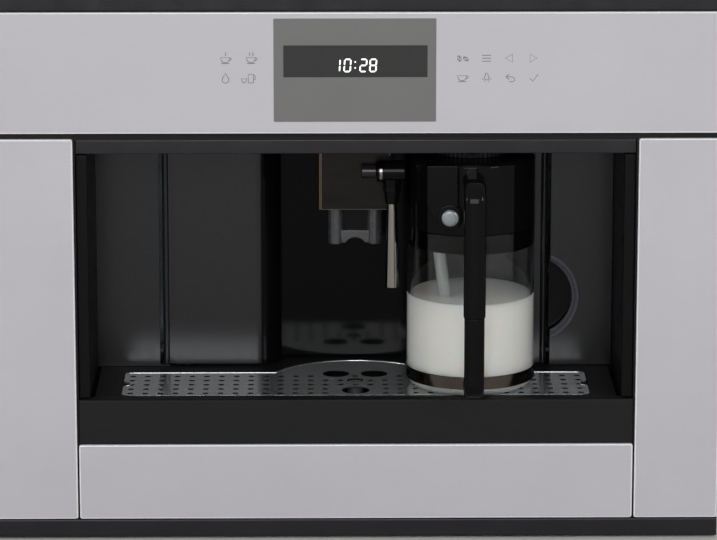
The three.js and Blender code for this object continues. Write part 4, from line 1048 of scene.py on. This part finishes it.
# %% Drip plate
# Each large hole is its x, its depth behind the glass, and its radius.
large_holes = [(-16, 89, 11), (16, 89, 11), (0, 67, 7), (0, 34, 11.5)]
column_pitch, row_pitch, first_row, hole_radius = 12.4, 14, 25, 2.5
holes = [arc(x, glass_y + depth, radius, 360, 0, 40)[:-1] for x, depth, radius in large_holes]
for column in range(-15, 16):
    for row in range(5):
        x, depth = column * column_pitch, first_row + row * row_pitch
        if all(math.hypot(x - hx, depth - hd) > hr + 2 * hole_radius for hx, hd, hr in large_holes):
            holes.append(arc(x, glass_y + depth, hole_radius, 360, 0, 16)[:-1])
punched = flat_sheet([plate_outline(0.8)] + holes, sheet_top - 0.7, 0.8, 0.12)
punched.normal_update()
# The hole walls get the painted shade.
paint(punched, 1, facing("z", 0.8))
rolled_edge = flat_sheet([plate_outline(), plate_outline(1.6)[::-1]], sheet_top - 0.75, 1.5, 0.3)
finish_piece(
    "drip_plate_stamping", merge(punched, rolled_edge), [drip_steel, hole_wall_painted_shade], "drip_drawer",
    "drip_plate",
)
print("drip plate has", len(holes), "round holes")
coat(grained_abs, "drip_tub")
coat(grey_pp, "grounds_bin", "tray_float")

# %% [markdown]
# ## The milk jug
# The jug is a blown glass beaker with a steel band near its foot and a polished black lid. Each is a
# profile turned about one axis. The glass has its real wall, inside and out, so light bends in it as it
# should. The milk is a body of its own that fills it to its level, with a small raised edge where it
# wets the glass. It reaches 0.6 mm into the wall: a film of air between the two would mirror, and the
# milk would look narrower than the jug.

# %% Glass and milk
jug = (jug_x, -142.0)
jug_radius, jug_inner, jug_foot, rim_z, lid_top = 52.6, 49.8, 117.9, 253.5, 313.5
glass_profile = [
    (0, jug_foot), (46.8, jug_foot), (jug_radius, jug_foot + 5.2), (jug_radius, rim_z - 0.3),
    (jug_inner, rim_z - 0.3), (jug_inner, jug_foot + 8), (44.4, jug_foot + 3), (0, jug_foot + 3),
]
finish_piece(
    "jug_beaker", lathe(soften(glass_profile, 4.0, 6, closed=False), jug, 128), clear_glass, "milk_jug",
    "jug_glass", sharp=50,
)
milk_level, milk_radius, milk_floor = 195.0, jug_inner + 0.6, jug_foot + 2.7
milk_corners = [
    (0, milk_floor), (45.5, milk_floor), (milk_radius, jug_foot + 6.8), (milk_radius, milk_level + 0.9)
]
milk_surface_line = [(49.3, milk_level + 0.2), (47.6, milk_level), (0, milk_level)]
milk_profile = soften(milk_corners, 4, 6, closed=False) + milk_surface_line
finish_piece("milk", lathe(milk_profile, jug, 128), milk_surface, "milk_jug", sharp=50)
print("jug is", 2 * jug_radius, "mm across and holds milk to", milk_level, "mm")

# %% Band and lid
band_profile = soften([(52.85, 124.9), (53.8, 124.9), (53.8, 135.4), (52.85, 135.4)], 0.35)
# The band's dark, warm colour is a painted reflection.
finish_piece(
    "jug_steel_band", lathe(band_profile, jug, 128, closed=True), band_painted_reflection, "milk_jug", "jug_band",
)
lid_profile = soften(
    [(0, rim_z - 16), (49.95, rim_z - 16), (49.95, rim_z), (52.8, rim_z), (52.8, lid_top - 3),
     (49.8, lid_top), (0, lid_top)], 0.9, closed=False,
)
button_x, button_z, button_radius = 76.3, 269.5, 6.9


def button_well():
    """The recess that the button slides in, as a cutter."""
    return bar((button_x, -202.6, button_z), (button_x, -187.5, button_z), 7.4, edge=0, steps=48)


nozzle_socket = bar((jug_x, -101.4, port_z), (jug_x, -85.4, port_z), 5.2, edge=0, steps=32)
dial_well = bar((*jug, lid_top - 6), (*jug, lid_top + 1), 6.5, edge=0, steps=32)
lid = carve(lathe(lid_profile, jug, 128), nozzle_socket, dial_well, button_well())
finish_piece("jug_lid_moulding", lid, polished_abs, "milk_jug", "jug_lid")
print("lid top is", lid_top, "mm above the floor")

# %% [markdown]
# ## Valve housing, button and dial
# On the lid's front left a slim housing hides the milk valve, and the round cleaning button sits in a
# boss on it. The housing has to follow the lid, so its outline is pushed back through the lid and cut
# with the lid's own cylinder. The button is plain painted ABS. The dial's edge has shallow ridges for
# the fingers, a wavy outline pushed up, and a notch in the edge shows where it is turned to.

# %% Valve housing
valve_left, valve_right, valve_base, valve_top = 57.5, 82.8, 268.0, 312.5
valve_half = (valve_right - valve_left) / 2
valve_round_z = valve_base + valve_half
valve_corners = [
    (valve_right, valve_round_z), (valve_right, valve_top), (valve_left, valve_top),
    (valve_left, valve_round_z),
]
valve_end = arc((valve_left + valve_right) / 2, valve_round_z, valve_half, 180, 360, 24)[1:-1]
valve_front, valve_back = -196.6, -162
valve_outline = soften(valve_corners, 1.5, closed=False) + valve_end
valve = prism(valve_outline, valve_front, valve_back, axis="y", bevel=0.9, steps=3)
button_boss = bar(
    (button_x, valve_back, button_z), (button_x, valve_front - 1, button_z), 10.5, edge=0.9, steps=64
)


def lid_skin():
    """The lid's cylinder with a little play, as a cutter."""
    return bar((*jug, rim_z - 20), (*jug, lid_top + 5), 53.1, edge=0, steps=128)


valve = carve(carve(carve(valve, button_boss, operation="UNION"), lid_skin()), button_well())
finish_piece(
    "valve_housing_moulding", valve, polished_abs, "milk_jug", "milk_valve_housing"
)
print("valve housing is", round(2 * valve_half, 1), "mm wide")

# %% Cleaning button
button_profile = [(0, 0), (button_radius, 0), (button_radius, 8.8), (5.2, 9.8), (0, 10)]
button = lathe(soften(button_profile, 0.7, closed=False), steps=64)
bmesh.ops.transform(button, matrix=Matrix.Rotation(math.radians(90), 4, "X"), verts=button.verts)
bmesh.ops.translate(button, vec=(button_x, -190.6, button_z), verts=button.verts)
finish_piece(
    "cleaning_button_cap", button, silver_abs, "cleaning_button", "cleaning_button"
)
print("cleaning button is", 2 * button_radius, "mm across")

# %% Dial
dial_radius, ridge_height, ridges, points_per_ridge = 29.6, 0.4, 48, 6
dial_outline = []
for i in range(ridges * points_per_ridge):
    turn = 2 * math.pi * i / (ridges * points_per_ridge)
    reach = dial_radius + ridge_height * math.cos(ridges * turn)
    dial_outline.append((jug_x + reach * math.cos(turn), jug[1] + reach * math.sin(turn)))
dial = prism(dial_outline, lid_top + 0.3, lid_top + 5.5, bevel=0.15, steps=1)
dial_stem = bar((*jug, lid_top - 5), (*jug, lid_top + 1), 6, edge=0.4)
dial_notch = slab(
    (jug_x - 1.4, jug_x + 1.4), (jug[1] - 33, jug[1] - 21), (lid_top + 3.6, lid_top + 7), bevel=0
)
finish_piece(
    "froth_dial_knob", merge(carve(dial, dial_notch), dial_stem), grained_abs, "froth_dial",
    "froth_dial",
)
print("dial has", ridges, "ridges")

# %% [markdown]
# ## The jug's handle
# The handle is a rounded bar bent over the lid, with a slimmer arm below it that ends on the steel band.
# A sweep suits it: one rounded section is carried along a bent path, a little smaller at the path's ends
# so that the ends are rounded too. The end that meets the lid or band is cut with that part's cylinder.
# The tube that draws the milk up is a frosted pipe that leans from the floor of the jug to its lid.


# %% Sweep
def sweep(path, half_x, halves, squareness=3.2, steps=32):
    """Carries a rounded section along a path of (y, z) points; halves are its half thickness at each."""
    bm = bmesh.new()
    rings = []
    spots = [Vector(p) for p in path]
    for i, spot in enumerate(spots):
        ahead = (spots[min(i + 1, len(spots) - 1)] - spots[max(i - 1, 0)]).normalized()
        across = Vector((-ahead.y, ahead.x))
        end_scale = (0.86, 0.96, 1.0)[min(i, len(spots) - 1 - i, 2)]
        ring = []
        for k in range(steps):
            c, s = math.cos(2 * math.pi * k / steps), math.sin(2 * math.pi * k / steps)
            u = math.copysign(abs(c) ** (2 / squareness), c) * half_x * end_scale
            v = math.copysign(abs(s) ** (2 / squareness), s) * halves[i] * end_scale
            ring.append(bm.verts.new((jug_x + u, spot.x + across.x * v, spot.y + across.y * v)))
        rings.append(ring)
    for lower, upper in zip(rings, rings[1:]):
        for k in range(steps):
            j = (k + 1) % steps
            bm.faces.new((lower[k], lower[j], upper[j], upper[k]))
    bm.faces.new(list(reversed(rings[0])))
    bm.faces.new(rings[-1])
    bmesh.ops.recalc_face_normals(bm, faces=bm.faces)
    return bm


def straight(start, end):
    """A straight path with two extra points near its start, where the section is drawn in."""
    return [tuple(Vector(start).lerp(Vector(end), t)) for t in (0.0, 0.004, 0.012, 0.34, 0.67)]


print("sweep ready")

# %% Handle and intake tube
handle_y, bend_steps = -231, 12
grip_path = (
    straight((handle_y, 194.5), (handle_y, 288)) + arc(-219.5, 288.5, 11.5, 180, 90, bend_steps)
    + [(-200, 300), (-181, 300), (-180, 300)]
)
grip_halves = [7] * 5 + [7 - 1.5 * i / bend_steps for i in range(bend_steps + 1)] + [5.5] * 3
grip = carve(sweep(grip_path, 9, grip_halves), lid_skin())
finish_piece("handle_grip_moulding", grip, polished_abs, "milk_jug", "jug_handle_grip")
arm_path = (
    straight((handle_y, 194.2), (handle_y, 139)) + arc(-223, 138.2, 8, 180, 270, bend_steps)
    + [(-205, 130.2), (-183, 130.2), (-182, 130.2)]
)
arm_halves = [5.5] * 5 + [5.5 - 0.25 * i / bend_steps for i in range(bend_steps + 1)] + [5.25] * 3
band_skin = bar((*jug, 118), (*jug, 142), 54.1, edge=0, steps=128)
arm = carve(sweep(arm_path, 8.2, arm_halves), band_skin)
finish_piece("handle_arm_moulding", arm, polished_abs, "milk_jug", "jug_handle_arm")
intake = bar((82.5, -154, 126.9), (68.6, -154, 237.2), 5.2, edge=0.4, steps=32, bore=3.6)
finish_piece("intake_tube", intake, frosted_tube, "milk_jug", "milk_intake_tube")
print("handle, arm and intake tube made")

# %% [markdown]
# ## The casing
# Zinc-plated sheet closes the sides, back and top. Folded sheet is stiffened with pressed ribs,
# ventilated with punched slots and held by screws. The slots are cut right through each sheet, and the
# ribs are half bars on it. The tank passes through the left side, and the bean hopper's lid lies in the
# top.


# %% Slots, ribs and screws
def slots(axis, low, high, columns, rows, length=46, height=4):
    """Rows of round-ended slots, to be cut through a sheet that lies across the axis."""
    cutters = []
    for a in columns:
        for b in rows:
            right = arc(a + length / 2, b, height / 2, -90, 90, 8)
            left = arc(a - length / 2, b, height / 2, 90, 270, 8)
            cutters.append(prism(right + left, low, high, axis=axis))
    return cutters


def screw_head(place, towards):
    """A pan-head screw with a cross recess, its face turned in the given direction."""
    profile = soften([(0, -0.4), (3.6, -0.4), (3.6, 0.7), (2.4, 1.6), (0, 1.9)], 0.6, closed=False)
    arms = [slab((-a, a), (-b, b), (0.8, 3), bevel=0) for a, b in ((2, 0.45), (0.45, 2))]
    head = carve(carve(lathe(profile, steps=24), arms[0]), arms[1])
    turn = Vector(towards).to_track_quat("Z", "Y").to_matrix().to_4x4()
    bmesh.ops.transform(head, matrix=Matrix.Translation(Vector(place)) @ turn, verts=head.verts)
    return head


def pressed_rib(axis, face, outward, a, b, length):
    """A pressed rib: a bar half sunk in the sheet, 1.1 mm proud of it."""
    centre = face - outward * 0.9
    place = {
        "x": lambda p: (centre, *p), "y": lambda p: (p[0], centre, p[1]), "z": lambda p: (*p, centre)
    }[axis]
    return bar(place((a - length / 2, b)), place((a + length / 2, b)), 2.0, edge=1.9, steps=16)


print("casing helpers ready")

# %% Side covers
cover_x, cover_inner, cover_y = 265.4, 263.9, (-180.4, 165.0)
cover_z = ranges("side_cover_right")[2]
tank_opening = ((-32, 122), (120.9, 284.9))
for side, name in ((-1, "left"), (1, "right")):
    sheet_x = sorted((side * cover_inner, side * cover_x))
    cut_x = (sheet_x[0] - 2, sheet_x[1] + 2)
    cuts = slots("x", *cut_x, (-110, -50, 10, 70, 130), [330 + 11 * i for i in range(8)], length=38)
    if side < 0:
        cuts.append(slab(cut_x, *tank_opening, bevel=0))
    sheet = carve(slab(sheet_x, cover_y, cover_z, bevel=0.3), *cuts)
    extras = [pressed_rib("x", side * cover_x, side, 0, z, 300) for z in (432, 100)]
    extras += [
        screw_head((side * cover_x, y, z), (side, 0, 0)) for y in (-168, 153) for z in (90, 250, 430)
    ]
    node = "side_cover_" + name
    finish_piece(node + "_sheet", merge(sheet, *extras), zinc_plate, "chassis", node)
print("side covers made,", 2 * cover_x, "mm apart")

# %% Rear cover
back_x, back_y, back_z = ranges("rear_cover")
cut_y = (back_y[0] - 2, back_y[1] + 2)
inlet_opening = slab((186.9, 216.9), cut_y, (49, 71), bevel=0)
cuts = slots("y", *cut_y, (-150, -75, 0, 75), [300 + 11 * i for i in range(10)]) + [inlet_opening]
sheet = carve(slab(back_x, back_y, back_z, bevel=0.3), *cuts)
extras = [pressed_rib("y", back_y[1], 1, 0, z, 420) for z in (120, 240)]
extras += [screw_head((x, back_y[1], z), (0, 1, 0)) for x in (-252, 0, 252) for z in (24, 430)]
finish_piece(
    "rear_cover_sheet", merge(sheet, *extras), zinc_plate, "chassis", "rear_cover"
)
print("rear cover made")

# %% Top cover
top_z = ranges("top_cover")[2]
cut_z = (top_z[0] - 2, top_z[1] + 2)
cuts = slots("z", *cut_z, (-190, -130, -70), [-120 + 12 * i for i in range(7)], length=40)
cuts.append(slab((15, 169), (-12, 157), cut_z, bevel=0))
cuts.append(bar((199, 65, cut_z[0]), (199, 65, cut_z[1]), 4.5, edge=0))
sheet = carve(slab((-cover_x, cover_x), cover_y, top_z, bevel=0.3), *cuts)
extras = [pressed_rib("z", top_z[1], 1, -110, y, 200) for y in (40, 120)]
extras += [screw_head((x, y, top_z[1]), (0, 0, 1)) for x in (-255, 255) for y in (-165, 0, 155)]
finish_piece("top_cover_sheet", merge(sheet, *extras), zinc_plate, "chassis", "top_cover")
coat(
    zinc_plate, "niche_base_plate", "outer_rail_left", "outer_rail_right", "middle_rail_left",
    "middle_rail_right", "inner_rail_left", "inner_rail_right", "chassis_pan", "inner_shelf",
)
print("casing made, top at", round(top_z[1], 1), "mm")

# %% [markdown]
# ## Water, beans and what is inside
# These pieces show when the machine is pulled out of its niche or the service door stands open. The tank
# and the hopper are clear and smoked mouldings with real walls. The grinder, the brewing unit, the
# boiler, the pump and the board keep the shapes of their CAD solids and get the finishes of their kinds.

# %% Inside
coat(clear_copolyester, "water_tank")
coat(smoked_san, "bean_hopper", "bean_hopper_lid")
coat(grey_pp, "brew_frame", "brew_piston")
coat(grained_abs, "grinder_housing", "grind_knob", "pump", "mains_inlet")
coat(ground_steel, "grinder_burr")
coat(zinc_plate, "grinder_motor")
coat(cast_aluminium, "boiler")
coat(circuit_laminate, "control_board")
print("inside pieces coated")

# %% [markdown]
# ## Studio
# A pale floor and soft lamps light the machine plainly, so its colours show as they are written. A floor
# always ends somewhere, and its far part gets little light, so from a low camera it would show a dark
# band and a hard horizon. A studio hides that with a sheet that curves up behind the object. Here the
# floor fades into the background's colour with distance instead, but only for rays that a camera sees,
# directly, in a reflection or through glass. The rays that light the machine meet the real floor and a
# dimmer air, so the background adds no light to it.

# %% Floor
air_colour, lit_level, seen_level = "#E4E4E2", 0.42, 0.9
fade_start, fade_end, floor_half = 1.2, 3.2, 6


def seen_rays(tree):
    """1 for rays from the camera and for those that metal or glass sends on, 0 for the rest."""
    path = add_node(tree, "ShaderNodeLightPath", {})
    total = path.outputs["Is Camera Ray"]
    for kind in ("Is Glossy Ray", "Is Transmission Ray"):
        total = add_node(
            tree, "ShaderNodeMath", {0: total, 1: path.outputs[kind]}, operation="MAXIMUM"
        ).outputs[0]
    return total


floor_paint = noise_finish("pale_studio_floor", "#DAD9D6", "#E0DFDC", 60, (0.6, 0.7))
floor_tree = floor_paint.node_tree
place = add_node(floor_tree, "ShaderNodeTexCoord", {})
reach = add_node(floor_tree, "ShaderNodeVectorMath", {0: place.outputs["Object"]}, operation="LENGTH")
fade = add_node(
    floor_tree, "ShaderNodeMapRange",
    {"Value": reach.outputs["Value"], "From Min": fade_start, "From Max": fade_end},
    interpolation_type="SMOOTHSTEP",
)
share = add_node(
    floor_tree, "ShaderNodeMath", {0: fade.outputs[0], 1: seen_rays(floor_tree)}, operation="MULTIPLY"
)
haze = add_node(floor_tree, "ShaderNodeEmission", {"Color": linear(air_colour), "Strength": seen_level})
blend = add_node(
    floor_tree, "ShaderNodeMixShader",
    {0: share.outputs[0], 1: floor_tree.nodes["Principled BSDF"].outputs[0], 2: haze.outputs[0]},
)
floor_tree.links.new(blend.outputs[0], floor_tree.nodes["Material Output"].inputs["Surface"])
floor_bm = bmesh.new()
bmesh.ops.create_grid(floor_bm, x_segments=1, y_segments=1, size=floor_half)
floor_mesh = bpy.data.meshes.new("studio_floor")
floor_bm.to_mesh(floor_mesh)
floor_bm.free()
floor_mesh.materials.append(floor_paint)
floor = bpy.data.objects.new("studio_floor", floor_mesh)
bpy.context.scene.collection.objects.link(floor)
floor.location.z = -0.0005
print("floor made; it fades out between", fade_start, "and", fade_end, "m from the machine")

# %% [markdown]
# ## Lamps
# The key lamp stands behind the camera and is large, so its light is even and its shadows are soft. Two
# smaller ones at the sides draw highlights on the polished plastic, and one behind the machine lights
# its top and back for the other views. Each is an area lamp that is turned to a point on the machine.


# %% Lamps and world
def soft_lamp(name, place, target, size, power):
    """A square lamp of the given size in metres and power in watts."""
    data = bpy.data.lights.new(name, "AREA")
    data.shape, data.size, data.energy = "SQUARE", size, power
    lamp = bpy.data.objects.new(name, data)
    lamp.location = place
    lamp.rotation_euler = (Vector(target) - Vector(place)).to_track_quat("-Z", "Y").to_euler()
    bpy.context.scene.collection.objects.link(lamp)


front_target, back_target = (0, -0.1, 0.2), (0, 0.1, 0.2)
soft_lamp("key_lamp", (-0.15, -3.9, 1.1), front_target, 1.6, 46)
soft_lamp("side_lamp", (1.9, -2.2, 1.3), front_target, 0.7, 18)
soft_lamp("fill_lamp", (-2.7, -1.7, 1.1), front_target, 0.7, 15)
soft_lamp("back_lamp", (-0.3, 2.4, 2.2), back_target, 1.8, 30)

world = bpy.data.worlds.new("studio_air")
bpy.context.scene.world = world
world.use_nodes = True
air = world.node_tree.nodes["Background"]
air.inputs["Color"].default_value = linear(air_colour)
level = add_node(
    world.node_tree, "ShaderNodeMapRange",
    {"Value": seen_rays(world.node_tree), "To Min": lit_level, "To Max": seen_level},
)
world.node_tree.links.new(level.outputs[0], air.inputs["Strength"])
bpy.context.scene.view_settings.view_transform = "Standard"
print("lamps and world made")

# %% [markdown]
# ## Camera
# The camera stands where the photograph was taken from: above the machine, far off, looking slightly
# down. A long lens from far away keeps the front's edges nearly parallel.

# %% Camera
camera_data = bpy.data.cameras.new("camera")
camera_data.sensor_width, camera_data.lens = 36, 199
camera = bpy.data.objects.new("camera", camera_data)
camera.location = (-0.030, -3.339, 0.946)
look_at = Vector((0.002, -0.200, 0.2270))
camera.rotation_euler = (look_at - camera.location).to_track_quat("-Z", "Y").to_euler()
bpy.context.scene.collection.objects.link(camera)
bpy.context.scene.camera = camera
print("camera at", [round(v, 3) for v in camera.location])

# %% Count the pieces
print(len(made_pieces), "pieces made")
